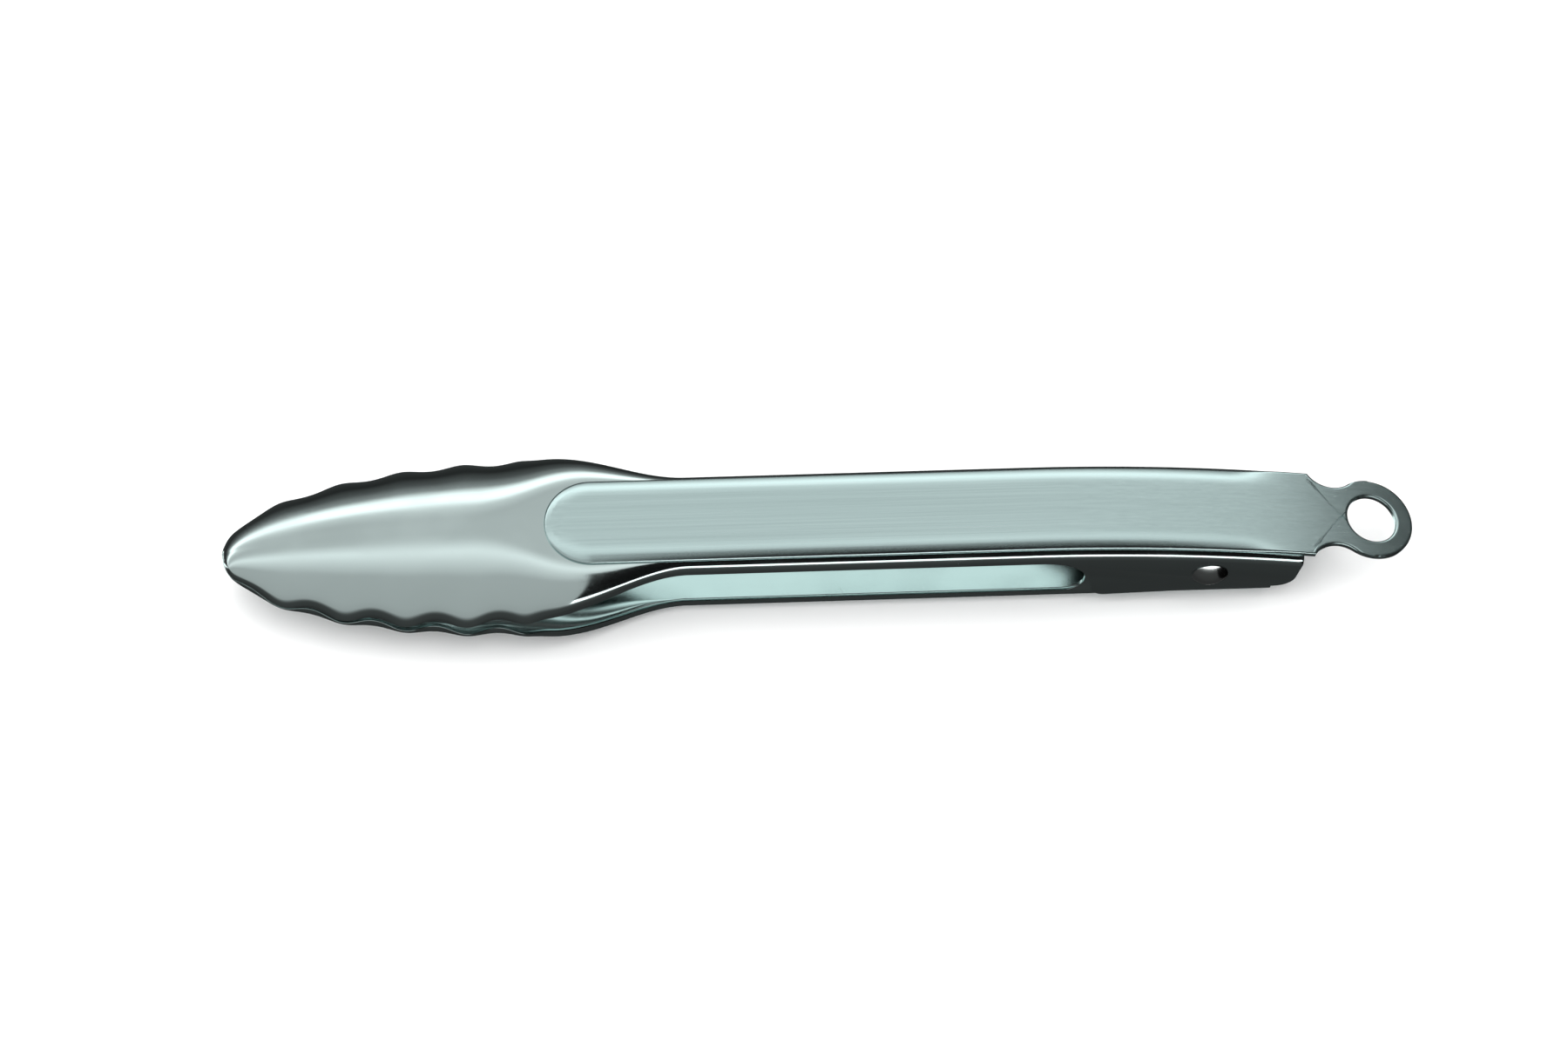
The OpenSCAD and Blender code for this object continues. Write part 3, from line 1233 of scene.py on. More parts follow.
@dataclass
class FrontArm(PressedArm):
    """The upper arm, whose tail curves down over the hinge."""

    ear_depth: float = 3.1
    ear_rise: float = 1.7
    ear_front: float = 30.3
    slot_len: float = 12.4
    slot_mid: float = -1.0
    nose_r: float = 3.5
    lean: float = 0.6
    heel_r: float = 5.0
    heel_from: float = -88.0
    slot_steps: int = 30
    nose_steps: int = 14
    heel_steps: int = 20

    def slot_from(self) -> float:
        """Station where the opening in front of the ear begins."""
        return SIZES.hinge - self.ear_front - self.slot_len

    def ear_row(self) -> Row:
        """The row at which the flange ends and the ear begins."""
        flange_r = SIZES.tail_r - SIZES.flange_h
        return (Run.CURVE, math.asin((self.slot_from() - SIZES.curve_from) / flange_r))

    def rows_behind(self) -> list[Row]:
        """Straight rows of the grip, then rows round the tail's curve.

        Returns:
            The rows.
        """
        step = (SIZES.curve_from - SIZES.narrow_end) / self.grip_rows
        rows = [(Run.STRAIGHT, SIZES.narrow_end + step * k) for k in range(1, self.grip_rows + 1)]
        ear = self.ear_row()
        rows.append(ear)
        for k in range(1, self.tail_rows + 1):
            rows.append((Run.CURVE, mix(ear[1], SIZES.tail_angle, k / self.tail_rows)))
        return rows

    def ear_outline(self) -> list[Point2]:
        """The ear's edge from the flange, round its front, bottom and heel.

        Returns:
            Points as station and height.
        """
        s0 = self.slot_from()
        front = SIZES.hinge - self.ear_front
        bottom = self.ear_depth - SIZES.web_top
        rise = SIZES.tail_height(s0, SIZES.tail_r - SIZES.flange_h) - self.slot_mid
        slot = []
        for k in range(self.slot_steps + 1):
            a = math.pi / 2 * (1 - k / self.slot_steps)
            slot.append((s0 + self.slot_len * math.cos(a), self.slot_mid + rise * math.sin(a)))
        nose_centre = (front + self.lean + self.nose_r, bottom + self.nose_r)
        nose = arc_points(nose_centre, self.nose_r, 180, 270, self.nose_steps)
        heel_z = bottom + self.ear_rise
        tilt = SIZES.tail_angle
        end_s = SIZES.curve_from + (heel_z + self.heel_r - SIZES.curve_z) * math.tan(tilt)
        heel_s = end_s - self.heel_r / math.cos(tilt)
        heel_centre = (heel_s, heel_z + self.heel_r)
        heel_to = -math.degrees(tilt)
        heel = arc_points(heel_centre, self.heel_r, self.heel_from, heel_to, self.heel_steps)
        return slot + nose + heel


@dataclass
class RearArm(PressedArm):
    """The lower arm, whose ears nest between the front arm's ears."""

    slot_r: float = 5.8
    slot_behind: float = 37.2
    slot_sweep: float = 55.0
    horn_behind: float = 39.5
    horn_drop: float = 4.8
    slot_gap: float = 0.15
    grip_rows: int = 12
    slot_steps: int = 36
    top_steps: int = 70
    lock_steps: int = 24
    tool_past: float = 2.0

    def ear_row(self) -> Row:
        """The row at which the flange ends and the ear begins."""
        return (Run.STRAIGHT, SIZES.hinge - self.slot_behind)

    def rows_behind(self) -> list[Row]:
        """Straight rows of the grip, with one where the ear begins.

        Returns:
            The rows.
        """
        ear = self.ear_row()
        rows = [
            (Run.STRAIGHT, mix(SIZES.narrow_end, ear[1], k / self.grip_rows))
            for k in range(1, self.grip_rows)
        ]
        rows.append(ear)
        for k in range(1, self.tail_rows + 1):
            rows.append((Run.STRAIGHT, mix(ear[1], SIZES.rear_end, k / self.tail_rows)))
        return rows

    def _upper_limit(self, s: float) -> float:
        """Height of the ears' upper edge, which stays inside the front arm, open or closed.

        Args:
            s: The station.

        Returns:
            The height, for an arm that lies on top.
        """
        clear = SIZES.tail_r - SIZES.bend_r - SIZES.stop_gap
        closed = SIZES.tail_height(s, clear)
        a = math.radians(SIZES.open_angle)
        x, z = SIZES.curve_from - SIZES.hinge, SIZES.curve_z
        centre_s = SIZES.hinge + x * math.cos(a) + z * math.sin(a)
        centre_z = z * math.cos(a) - x * math.sin(a)
        opened = centre_z + math.sqrt(max(0.0, clear**2 - (s - centre_s) ** 2))
        return min(SIZES.web_top - self.horn_drop, closed, opened)

    def ear_outline(self) -> list[Point2]:
        """The ear's edge round the slot, over the horn and along its top to the end.

        Returns:
            Points as station and height.
        """
        centre = (SIZES.hinge - self.slot_behind, SIZES.rim_top - self.slot_r)
        slot = arc_points(centre, self.slot_r, 90, -self.slot_sweep, self.slot_steps)
        horn = SIZES.hinge - self.horn_behind
        steps = range(self.top_steps + 1)
        along = [mix(horn, SIZES.rear_end, k / self.top_steps) for k in steps]
        return slot + [(s, -self._upper_limit(s)) for s in along]

    def build(self) -> bpy.types.Object:
        """Press and cut the arm, then bore its ears for the sleeve and the roller.

        Returns:
            The finished arm.
        """
        arm = super().build()
        half = self.grip_half + self.tool_past
        bore(arm, cross_cylinder("bore", SIZES.hinge, 0, SIZES.sleeve_r + SIZES.turn_gap, half))
        r = SIZES.trunnion_d / 2 + self.slot_gap
        outline = arc_points((SIZES.released, 0), r, 90, 270, self.lock_steps)
        outline += arc_points((SIZES.locked, 0), r, -90, 90, self.lock_steps)
        tool = cut_blank("lock_slot", [place(s, -half, z) for s, z in outline])
        pull(tool, Vector((0, 2 * half * MM, 0)))
        bore(arm, tool)
        return arm


# ---- Handle plates ----


@dataclass
class HandlePlate:
    """A brushed plate on the grip, round at its head end.

    crown_* give its broad pillow shape, and roll_* the tight roll along its edges.
    """

    name: str
    width: float
    flip: int
    plate_from: float = 80.3
    corner_cut: float = 2.0
    round_steps: int = 96
    turn_step: int = 6
    edge_round: float = 0.12
    crown_in: float = 5.5
    crown_h: float = 0.8
    crown_power: float = 2.2
    roll_in: float = 0.6
    roll_h: float = 0.45
    edge_lines: tuple[float, ...] = (
        0.02, 0.06, 0.12, 0.2, 0.31, 0.45, 0.65, 0.9, 1.2, 1.55, 1.95
    )
    crown_lines: tuple[float, ...] = (2.3, 2.8, 3.4, 4.1, 4.9, 5.9, 8.0)

    def outline(self) -> list[Point2]:
        """The plate's outline, laid flat.

        Returns:
            Points as distance from the tips and y.
        """
        r = self.width / 2
        back = [
            (SIZES.rear_end - self.corner_cut, -r),
            (SIZES.rear_end, -r + self.corner_cut),
            (SIZES.rear_end, r - self.corner_cut),
            (SIZES.rear_end - self.corner_cut, r),
        ]
        return back + self.round_end()

    def round_end(self) -> list[Point2]:
        """The half circle at the head end."""
        r = self.width / 2
        return arc_points((self.plate_from + r, 0), r, 90, 270, self.round_steps)

    def follow(self, u: float, z: float) -> Point2:
        """Where a point of the flat blank comes to lie, as station and height."""
        return (u, z)

    def bend_stations(self) -> list[float]:
        """Distances at which the blank is cut across so that it can bend."""
        return []

    def build(self) -> bpy.types.Object:
        """Cut the blank, round its edges and bend it to the arm.

        Returns:
            The plate.
        """
        low = SIZES.web_top * self.flip
        plate = cut_blank(self.name, [place(s, y, low) for s, y in self.outline()])
        pull(plate, Vector((0, 0, SIZES.plate_t * MM * self.flip)))
        self.pierce(plate)
        self._line_edges(plate)
        self._score(plate)
        middle = place(0, 0, (SIZES.web_top + SIZES.plate_t / 2) * self.flip).z
        for vertex in plate.data.vertices:
            u = vertex.co.x / MM + SIZES.overall_len / 2
            y = vertex.co.y / MM
            z = vertex.co.z / MM - SIZES.overall_h / 2
            if (vertex.co.z - middle) * self.flip > 0:
                z -= self.fall(u, y) * self.flip
            s, height = self.follow(u, z)
            vertex.co = place(s, y, height)
        plate.data.update()
        break_edges(plate, self.edge_round, 2, 50)
        smooth(plate)
        apply_modifier(plate, "WEIGHTED_NORMAL", keep_sharp=True)
        return plate

    def inside(self, u: float, y: float) -> float:
        """How far a point of the blank lies inside its outline.

        Args:
            u: Distance from the tips.
            y: Distance to the side.

        Returns:
            The distance.
        """
        r = self.width / 2
        if u < self.plate_from + r:
            return max(0.0, r - math.hypot(u - self.plate_from - r, y))
        return max(0.0, r - abs(y))

    def pillow(self, u: float) -> float:
        """How much of the pillow shape shows at a distance from the tips."""
        return 1.0

    def fall(self, u: float, y: float) -> float:
        """How far the outer face lies below its middle.

        Args:
            u: Distance from the tips.
            y: Distance to the side.

        Returns:
            The drop.
        """
        inside = self.inside(u, y)
        rolled = unit(inside / self.roll_in)
        roll = self.roll_h * (1 - math.sqrt(max(0.0, 1 - (1 - rolled) ** 2)))
        crown = self.crown_h * (1 - unit(inside / self.crown_in)) ** self.crown_power
        return roll + crown * self.pillow(u)

    def _line_edges(self, plate: bpy.types.Object) -> None:
        """Draw lines along the outer face's edges, by insets, for the rolled edge to follow.

        Args:
            plate: The flat blank.
        """
        select_faces(plate, lambda face: face.normal.z * self.flip > FACING)
        before = 0.0
        for inside in self.edge_lines:
            bpy.ops.mesh.inset(thickness=(inside - before) * MM)
            before = inside
        done()

    def _score(self, plate: bpy.types.Object) -> None:
        """Cut the blank across and along so that it can bend and crown.

        Args:
            plate: The flat blank.
        """
        r = self.width / 2
        turns = [math.radians(a) for a in range(self.turn_step, 91, self.turn_step)]
        along = [self.plate_from + r * (1 - math.cos(a)) for a in turns]
        cuts = [(place(s, 0, 0), (1, 0, 0)) for s in along + self.bend_stations()]
        for inside in self.crown_lines:
            cuts += [(Vector((0, side * (r - inside) * MM, 0)), (0, 1, 0)) for side in (1, -1)]
        for where, normal in cuts:
            edit(plate, "FACE")
            bpy.ops.mesh.select_all(action="SELECT")
            bpy.ops.mesh.bisect(plane_co=where, plane_no=normal)
            done()

    def pierce(self, plate: bpy.types.Object) -> None:
        """Cut holes in the flat blank."""


@dataclass
class FrontPlate(HandlePlate):
    """The front plate, which runs on into a neck and a hanging ring."""

    ring_d: float = 22.0
    ring_hole_d: float = 13.0
    neck_w: float = 16.5
    neck_r: float = 7.5
    neck_steps: int = 30
    flat_before: float = 17.0
    fade_len: float = 14.0
    bend_cuts: int = 50
    tool_len: float = 20.0

    def ring_centre(self) -> float:
        """Where the ring's centre lies along the blank.

        Returns:
            Its distance from the tips.
        """
        over = SIZES.tail_r + SIZES.plate_t
        span = SIZES.overall_len - SIZES.curve_from
        angle = math.asin(span / over) - math.asin(self.ring_d / 2 / over)
        return SIZES.curve_from + SIZES.tail_r * angle

    def hollow_centre(self) -> Point2:
        """Centre of one of the neck's hollows, as distance past the ring's centre and y."""
        y = self.neck_w / 2 + self.neck_r
        return (-math.sqrt((self.ring_d / 2 + self.neck_r) ** 2 - y**2), y)

    def outline(self) -> list[Point2]:
        """Round head end, long sides, hollow neck and ring.

        Returns:
            Points as distance from the tips and y.
        """
        r = self.width / 2
        centre = self.ring_centre()
        neck_x, hollow_y = self.hollow_centre()
        # The hollow starts at the plate's long side and ends where it meets the ring
        start = math.degrees(math.asin((hollow_y - r) / self.neck_r))
        corner_x = neck_x - self.neck_r * math.cos(math.radians(start))
        stop = math.degrees(math.atan2(hollow_y, -neck_x))
        hollow = arc_points((neck_x, -hollow_y), self.neck_r, 180 - start, stop, self.neck_steps)
        around = arc_points((0, 0), self.ring_d / 2, stop - 180, 180 - stop, self.round_steps)
        other = [(x, -y) for x, y in reversed(hollow)]
        tail = [(corner_x, -r)] + hollow[1:] + around[1:-1] + other[:-1] + [(corner_x, r)]
        return [(centre + x, y) for x, y in tail] + self.round_end()

    def inside(self, u: float, y: float) -> float:
        """How far a point of the blank lies inside its outline and outside its hole.

        Args:
            u: Distance from the tips.
            y: Distance to the side.

        Returns:
            The distance.
        """
        centre = self.ring_centre()
        neck_x, hollow_y = self.hollow_centre()
        neck_x += centre
        hollow = math.hypot(u - neck_x, abs(y) - hollow_y) - self.neck_r
        out = math.hypot(u - centre, y)
        if u < neck_x:
            return max(0.0, min(super().inside(u, y), hollow))
        if u < centre:
            return max(0.0, min(hollow, out - self.ring_hole_d / 2))
        return max(0.0, min(self.ring_d / 2 - out, out - self.ring_hole_d / 2))

    def pillow(self, u: float) -> float:
        """The pillow shape fades out before the neck, so that the ring is flat."""
        return 1 - ease((u - SIZES.front_end + self.flat_before) / self.fade_len)

    def follow(self, u: float, z: float) -> Point2:
        """Along the straight, then round the tail's curve.

        Args:
            u: Distance along the blank.
            z: Height on the blank.

        Returns:
            Station and height on the finished plate.
        """
        if u <= SIZES.curve_from:
            return (u, z)
        angle = (u - SIZES.curve_from) / SIZES.tail_r
        return SIZES.on_tail(angle, SIZES.tail_r + z - SIZES.web_top)

    def bend_stations(self) -> list[float]:
        """Even cuts, about two millimetres apart, round the curve and the ring."""
        end = self.ring_centre() + self.ring_d / 2
        return [mix(SIZES.curve_from, end, k / self.bend_cuts) for k in range(self.bend_cuts)]

    def pierce(self, plate: bpy.types.Object) -> None:
        """Cut the hanging hole.

        Args:
            plate: The flat blank.
        """
        deselect_all()
        bpy.ops.mesh.primitive_cylinder_add(
            vertices=self.round_steps,
            radius=self.ring_hole_d / 2 * MM,
            depth=self.tool_len * MM,
            location=place(self.ring_centre(), 0, SIZES.web_top),
        )
        tool = named("hole")
        settle(tool)
        bore(plate, tool)


# ---- Hinge and lock ----


@dataclass
class Hinge:
    """The rivet with its two domed heads, and the sleeve it holds."""

    head_d: float = 9.5
    head_h: float = 2.0
    dome_steps: int = 96
    rivet_edge: float = 0.18
    sleeve_edge: float = 0.12
    tool_past: float = 2.0

    def dome(self, side: int) -> bpy.types.Object:
        """One domed head, cut from a ball.

        Args:
            side: 1 or -1.

        Returns:
            The head.
        """
        r = ((self.head_d / 2) ** 2 + self.head_h**2) / (2 * self.head_h)
        deselect_all()
        bpy.ops.mesh.primitive_uv_sphere_add(
            segments=self.dome_steps,
            ring_count=self.dome_steps,
            radius=r * MM,
            rotation=(math.pi / 2, 0, 0),
            location=place(SIZES.hinge, side * (SIZES.front_half + self.head_h - r), 0),
        )
        obj = named("rivet_head")
        settle(obj)
        edit(obj, "FACE")
        bpy.ops.mesh.select_all(action="SELECT")
        bpy.ops.mesh.bisect(
            plane_co=place(SIZES.hinge, side * SIZES.front_half, 0),
            plane_no=(0, side, 0),
            clear_inner=True,
            use_fill=True,
        )
        done()
        return obj

    def build_rivet(self) -> bpy.types.Object:
        """The shank with a domed head on each end.

        Returns:
            The rivet.
        """
        half = SIZES.front_half
        shank = cross_cylinder("hinge_rivet_shank", SIZES.hinge, 0, SIZES.rivet_d / 2, half)
        rivet = join([self.dome(-1), self.dome(1), shank])
        rivet.name = "rivet"
        rivet.data.name = "rivet"
        break_edges(rivet, self.rivet_edge, 3, 30)
        return rivet

    def build_sleeve(self) -> bpy.types.Object:
        """The short tube between the ears.

        Returns:
            The sleeve.
        """
        half = SIZES.front_half - SIZES.sheet
        sleeve = cross_cylinder("sleeve", SIZES.hinge, 0, SIZES.sleeve_r, half, ROUND_SIDES)
        hole_r = SIZES.rivet_d / 2 + SIZES.turn_gap
        past = half + self.tool_past
        bore(sleeve, cross_cylinder("bore", SIZES.hinge, 0, hole_r, past, ROUND_SIDES))
        break_edges(sleeve, self.sleeve_edge)
        return sleeve


@dataclass
class TorsionSpring:
    """The coil round the sleeve, with a leg on each arm's web."""

    wire_d: float = 1.8
    whole_turns: int = 4
    turn_space: float = 0.25
    coil_gap: float = 0.3
    leg_reach: float = 27.0
    leg_gap: float = 0.1
    steps_per_turn: int = 40
    cut_edge: float = 0.15
    half_len: float = field(init=False, default=0.0)

    def route(self) -> list[Vector]:
        """The middle of the wire from the tip of the front leg to the tip of the rear leg.

        Returns:
            Points in metres.
        """
        wire_r = self.wire_d / 2
        coil_r = SIZES.sleeve_r + self.coil_gap + wire_r
        leg_tip = SIZES.hinge - self.leg_reach
        off_web = wire_r + self.leg_gap
        upper = SIZES.tail_height(leg_tip, SIZES.tail_r - SIZES.sheet) - off_web
        lower = off_web - (SIZES.web_top - SIZES.sheet)

        def leave(z: float) -> float:
            """Angle on the coil at which a leg leaves it.

            Args:
                z: Height of the leg's end.

            Returns:
                The angle in degrees.
            """
            slope = math.atan(abs(z) / self.leg_reach)
            tangent = math.acos(coil_r / math.hypot(self.leg_reach, z))
            angle = 180 - math.degrees(slope + tangent)
            return angle if z > 0 else -angle

        start, end = leave(upper), leave(lower) - 360 * self.whole_turns
        self.half_len = (self.wire_d + self.turn_space) * (start - end) / 720
        steps = self.steps_per_turn * (self.whole_turns + 1)
        points = [place(leg_tip, -self.half_len, upper)]
        for k in range(steps + 1):
            a = math.radians(mix(start, end, k / steps))
            y = mix(-self.half_len, self.half_len, k / steps)
            points.append(place(SIZES.hinge + coil_r * math.cos(a), y, coil_r * math.sin(a)))
        points.append(place(leg_tip, self.half_len, lower))
        return points

    def build(self) -> bpy.types.Object:
        """Wind the wire along its route as a round bar, with cut ends.

        Returns:
            The spring.
        """
        route = self.route()
        curve = bpy.data.curves.new("spring", "CURVE")
        curve.dimensions = "3D"
        curve.bevel_depth = self.wire_d / 2 * MM
        curve.bevel_resolution = 5
        curve.use_fill_caps = True
        line = curve.splines.new("POLY")
        line.points.add(len(route) - 1)
        for point, co in zip(line.points, route):
            point.co = (*co, 1)
        obj = bpy.data.objects.new("spring", curve)
        bpy.context.scene.collection.objects.link(obj)
        pick(obj)
        bpy.ops.object.convert(target="MESH")
        obj = bpy.context.active_object
        weld(obj, 0.01)
        face_outwards(obj)
        break_edges(obj, self.cut_edge, 2, 60)
        return obj


@dataclass
class Lock:
    """The roller in the rear ears and the catch on the front arm."""

    roller_d: float = 4.4
    end_gap: float = 0.4
    catch_t: float = 1.0
    catch_w: float = 5.6
    lip_gap: float = 0.2
    stem_gap: float = 0.8
    foot_len: float = 6.0
    foot_steps: int = 8
    corner_clear: float = 0.2
    roller_edge: float = 0.2
    catch_edge: float = 0.15

    def build_roller(self) -> bpy.types.Object:
        """The roller, with a trunnion drawn out of each end.

        Returns:
            The roller.
        """
        half = SIZES.rear_half - SIZES.sheet - self.end_gap
        roller = cross_cylinder("roller", SIZES.released, 0, self.roller_d / 2, half, ROUND_SIDES)
        reach = SIZES.rear_half - SIZES.nest_gap - half
        for side in (1, -1):
            select_faces(roller, lambda face: face.normal.y * side > FACING)
            bpy.ops.mesh.inset(thickness=(self.roller_d - SIZES.trunnion_d) / 2 * MM)
            move = (0, side * reach * MM, 0)
            bpy.ops.mesh.extrude_region_move(TRANSFORM_OT_translate={"value": move})
            done()
        break_edges(roller, self.roller_edge, 3, 40)
        return roller

    def build_catch(self) -> bpy.types.Object:
        """The catch: a foot on the web, a stem and a lip, bent from one strip.

        Returns:
            The catch.
        """
        radius = self.roller_d / 2
        stem = SIZES.locked + radius + self.stem_gap
        lip_top = -radius - self.lip_gap
        lip_from = SIZES.released + radius + self.stem_gap
        web_in = SIZES.tail_r - SIZES.sheet
        t = self.catch_t
        steps = range(self.foot_steps + 1)
        foot = [mix(stem, stem + self.foot_len, k / self.foot_steps) for k in steps]
        under = [s for s in foot if s > stem + t + self.corner_clear]
        outline = [(lip_from, lip_top - t), (stem + t, lip_top - t)]
        outline += [(stem + t, SIZES.tail_height(stem + t, web_in - t))]
        outline += [(s, SIZES.tail_height(s, web_in - t)) for s in under]
        outline += [(s, SIZES.tail_height(s, web_in)) for s in reversed(foot)]
        outline += [(stem, lip_top), (lip_from, lip_top)]
        catch = cut_blank("catch", [place(s, -self.catch_w / 2, z) for s, z in outline])
        pull(catch, Vector((0, self.catch_w * MM, 0)))
        break_edges(catch, self.catch_edge, 3, 30)
        return catch


# ---- Studio ----


@dataclass
class Studio:
    """A plain pale floor, soft lights, a graded surround, two cards and the camera.

    The surround's stops run from the horizon behind at 0 degrees over the top to the horizon in
    front at 180; below the floor they are negative.
    """

    azimuth: float = 7.288
    elevation: float = 59.99
    roll: float = 4.606
    distance: float = 1.382
    lens: float = 126.23
    shift_x: float = -0.02383
    shift_y: float = 0.01089
    sky: tuple[Stop, ...] = (
        # Below the floor: dark, with one bright patch for the insides of the channels
        (-180, 0.05), (-170, 0.03), (-140, 0.026), (-110, 0.018), (-76, 0.02), (-67, 0.70),
        (-53, 0.84), (-45, 0.03),
        # Behind: dark at the horizon, then a bright band
        (4, 0.012), (20, 0.05), (31, 0.17), (37, 0.80), (43, 0.90), (48, 0.40),
        # Overhead and in front: soft greys, darker at the horizon
        (56, 0.29), (63, 0.32), (72, 0.56), (80, 0.42), (93, 0.26), (140, 0.245), (164, 0.22),
        (174, 0.10), (180, 0.05),
    )
    sky_strength: float = 2.1
    sky_tint: Point3 = (0.985, 1.0, 0.995)
    side_from: float = 0.45
    side_to: float = 0.52
    side_dark: float = 0.04
    floor_size: float = 6.0
    floor_grey: float = 0.93
    box_size: float = 2.4
    key_place: Point3 = (-0.5, -0.6, 1.5)
    key_watts: float = 36.0
    fill_place: Point3 = (0.7, 0.8, 1.4)
    fill_watts: float = 30.0
    card_x: Point2 = (-0.05, 0.24)
    flag_low: Point2 = (-0.15, 0.105)
    flag_high: Point2 = (0.06, 0.45)
    flag_level: float = 0.005
    strip_low: Point2 = (-0.15, 0.05)
    strip_high: Point2 = (-0.15, 0.1)
    strip_level: float = 2.4

    def camera(self) -> bpy.types.Object:
        """The camera, turned to the viewing angle.

        Returns:
            The camera.
        """
        az, el, roll = (math.radians(v) for v in (self.azimuth, self.elevation, self.roll))
        forward = Vector((math.sin(az) * math.cos(el), math.cos(az) * math.cos(el), -math.sin(el)))
        right = forward.cross(Vector((0, 0, 1))).normalized()
        up = right.cross(forward)
        across = right * math.cos(roll) + up * math.sin(roll)
        upward = -right * math.sin(roll) + up * math.cos(roll)
        target = Vector((0, 0, SIZES.overall_h / 2 * MM))
        where = target - forward * self.distance
        data = bpy.data.cameras.new("camera")
        data.lens = self.lens
        data.sensor_width = 36
        data.shift_x = self.shift_x
        data.shift_y = self.shift_y
        data.clip_start = 0.01
        camera = bpy.data.objects.new("camera", data)
        turn = Matrix((across, upward, -forward)).transposed().to_4x4()
        camera.matrix_world = Matrix.Translation(where) @ turn
        bpy.context.scene.collection.objects.link(camera)
        bpy.context.scene.camera = camera
        return camera

    def floor(self) -> bpy.types.Object:
        """A plain pale floor.

        Returns:
            The floor.
        """
        deselect_all()
        bpy.ops.mesh.primitive_plane_add(size=self.floor_size, location=(0, 0, 0))
        floor = named("floor")
        material = bpy.data.materials.new("floor")
        graph = Graph(material)
        grey = (self.floor_grey, self.floor_grey, self.floor_grey, 1)
        shader = graph.node("ShaderNodeBsdfPrincipled", None, Base_Color=grey, Roughness=0.9)
        graph.node("ShaderNodeOutputMaterial", None, Surface=shader)
        floor.data.materials.append(material)
        floor.visible_glossy = False
        return floor

    def light_box(self, name: str, where: Point3, size: float, watts: float) -> bpy.types.Object:
        """A square soft box aimed at the tongs, which doesn't show in their reflections.

        Args:
            name: Its name.
            where: Its place in metres.
            size: Its side in metres.
            watts: Its power.

        Returns:
            The light.
        """
        data = bpy.data.lights.new(name, "AREA")
        data.shape = "SQUARE"
        data.size = size
        data.energy = watts
        light = bpy.data.objects.new(name, data)
        light.location = where
        light.rotation_euler = (-Vector(where)).to_track_quat("-Z", "Y").to_euler()
        light.visible_glossy = False
        bpy.context.scene.collection.objects.link(light)
        return light

    def card(self, name: str, low: Point2, high: Point2, level: float) -> bpy.types.Object:
        """A long card in front of the handle, which shows only in its reflections.

        Args:
            name: Its name.
            low: Y and Z of its lower edge in metres.
            high: Y and Z of its upper edge in metres.
            level: How bright it is; 0 is a black flag.

        Returns:
            The card.
        """
        deselect_all()
        rise = math.atan2(high[1] - low[1], high[0] - low[0])
        middle = (sum(self.card_x) / 2, (low[0] + high[0]) / 2, (low[1] + high[1]) / 2)
        bpy.ops.mesh.primitive_plane_add(size=1, location=middle, rotation=(rise, 0, 0))
        card = named(name)
        card.scale = (self.card_x[1] - self.card_x[0], math.dist(low, high), 1)
        settle(card)
        material = bpy.data.materials.new(name)
        graph = Graph(material)
        glow = graph.node("ShaderNodeEmission", None, (1, 1, 1, 1), level)
        graph.node("ShaderNodeOutputMaterial", None, Surface=glow)
        card.data.materials.append(material)
        card.visible_camera = False
        card.visible_diffuse = False
        card.visible_shadow = False
        return card

    def surround(self) -> None:
        """The graded surround, which fades to dark past the ring's end of the tongs."""
        world = bpy.data.worlds.new("studio")
        bpy.context.scene.world = world
        graph = Graph(world)
        coords = graph.node("ShaderNodeTexCoord").other("Generated")
        split = graph.node("ShaderNodeSeparateXYZ", None, coords)
        x, y, z = (split.other(axis) for axis in "XYZ")
        turn = graph.node("ShaderNodeMath", {"operation": "ARCTAN2"}, z, y)
        share = turn * (1 / (2 * math.pi)) + 0.5
        stops = [(angle / 360 + 0.5, level) for angle, level in self.sky]
        ramp = graph.node("ShaderNodeValToRGB", {"stops": stops}, share)
        fall = 1 - x.over(self.side_from, self.side_to) * (1 - self.side_dark)
        tint = graph.blend(1.0, ramp, (*self.sky_tint, 1), "MULTIPLY")
        back = graph.node("ShaderNodeBackground", None, tint, fall * self.sky_strength)
        graph.node("ShaderNodeOutputWorld", None, Surface=back)

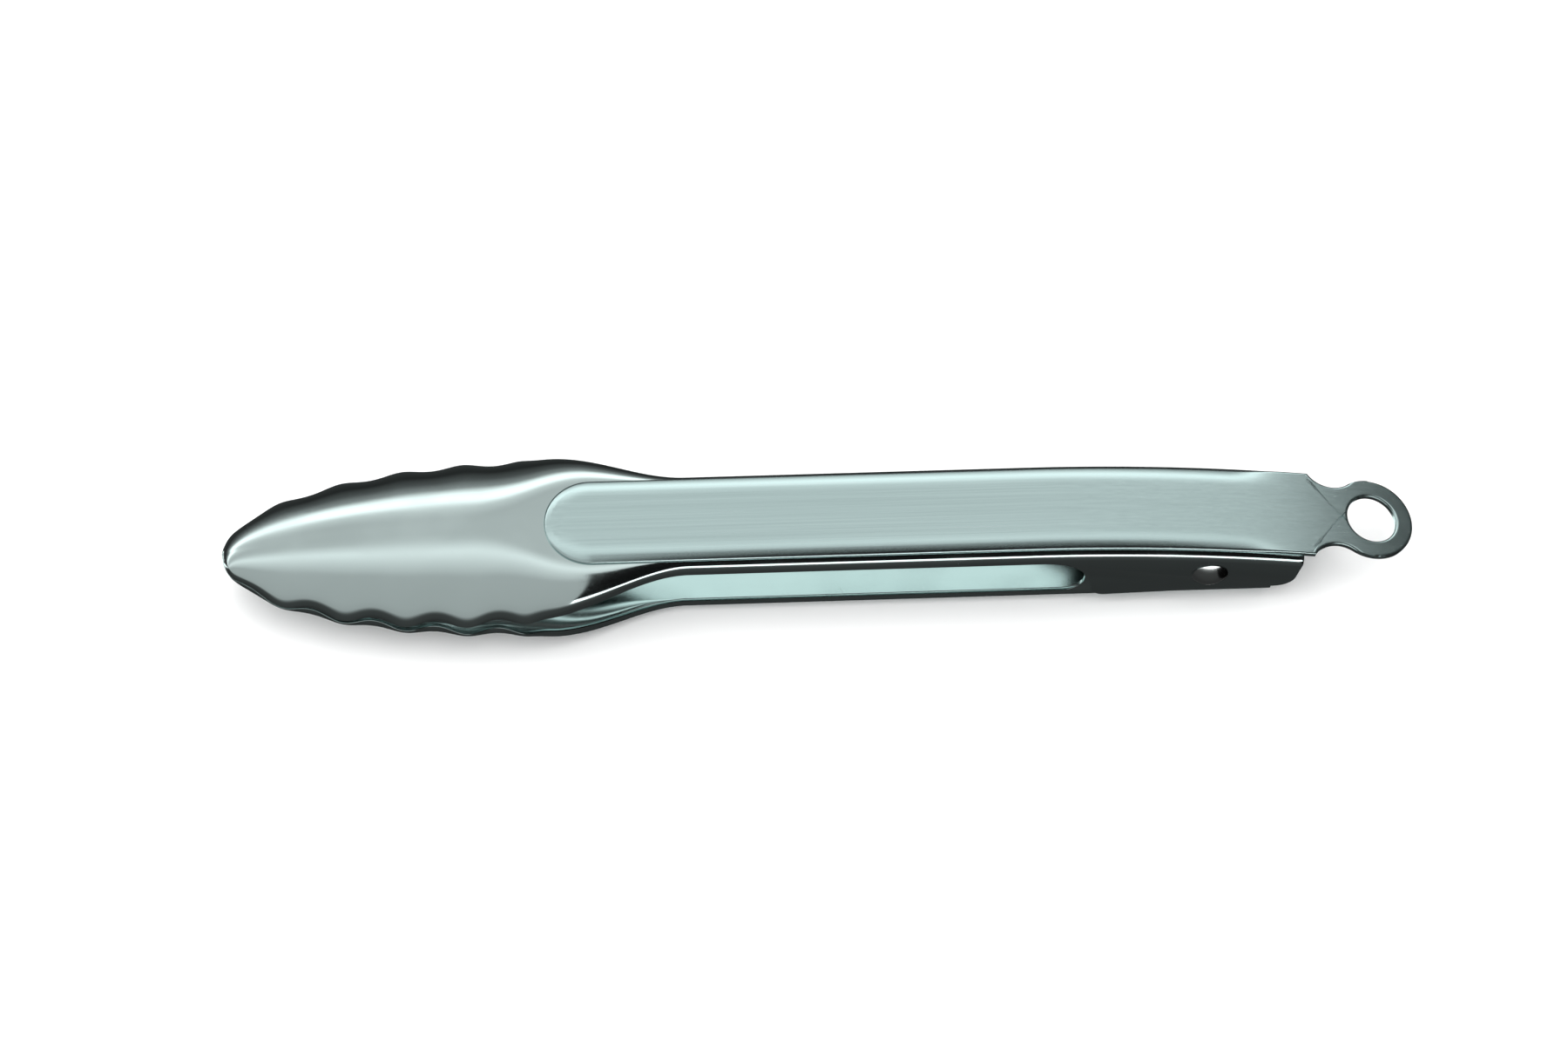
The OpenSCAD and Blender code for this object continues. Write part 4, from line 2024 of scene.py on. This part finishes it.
    def build(self) -> None:
        """Set up floor, surround, lights, cards and camera."""
        self.floor()
        self.surround()
        self.light_box("key", self.key_place, self.box_size, self.key_watts)
        self.light_box("fill", self.fill_place, self.box_size, self.fill_watts)
        self.card("flag", self.flag_low, self.flag_high, self.flag_level)
        self.card("strip", self.strip_low, self.strip_high, self.strip_level)
        self.camera()
        bpy.context.scene.view_settings.view_transform = "Standard"


def main() -> None:
    """Build the tongs piece by piece, dress them and light them."""
    logging.basicConfig(level=logging.INFO, format="%(name)s %(message)s")
    polished = PolishedSteel().material()
    brushed = BrushedSteel().material()
    rivet_steel = RivetSteel().material()
    spring_steel = SpringSteel().material()

    front = FrontArm("front_arm_pressed", Body.FRONT, SIZES.front_half)
    piece = front.build()
    smooth(piece)
    finish_piece(piece, polished, Body.FRONT, "front_arm")
    rear = RearArm("rear_arm_pressed", Body.REAR, SIZES.rear_half, -1)
    piece = rear.build()
    smooth(piece)
    finish_piece(piece, polished, Body.REAR, "rear_arm")

    piece = FrontPlate("front_plate", 23.6, 1).build()
    finish_piece(piece, brushed, Body.FRONT, "front_handle_plate")
    piece = HandlePlate("rear_plate", 22.0, -1).build()
    finish_piece(piece, brushed, Body.REAR, "rear_handle_plate")

    hinge = Hinge()
    piece = hinge.build_rivet()
    smooth(piece)
    finish_piece(piece, rivet_steel, Body.FRONT, "hinge_rivet")
    piece = hinge.build_sleeve()
    smooth(piece)
    finish_piece(piece, spring_steel, Body.FRONT, "pivot_sleeve")

    spring = TorsionSpring()
    piece = spring.build()
    smooth(piece)
    finish_piece(piece, spring_steel, None, "torsion_spring")
    reach = spring.half_len - spring.wire_d / 2
    tuple(place(SIZES.hinge, reach, 0))
    tuple(place(SIZES.hinge, -reach, 0))
    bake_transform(piece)

    lock = Lock()
    piece = lock.build_roller()
    smooth(piece)
    finish_piece(piece, spring_steel, Body.ROLLER, "lock_roller")
    piece = lock.build_catch()
    smooth(piece)
    finish_piece(piece, spring_steel, Body.FRONT, "lock_catch")

    Studio().build()
    deselect_all()


if __name__ == "__main__":
    main()
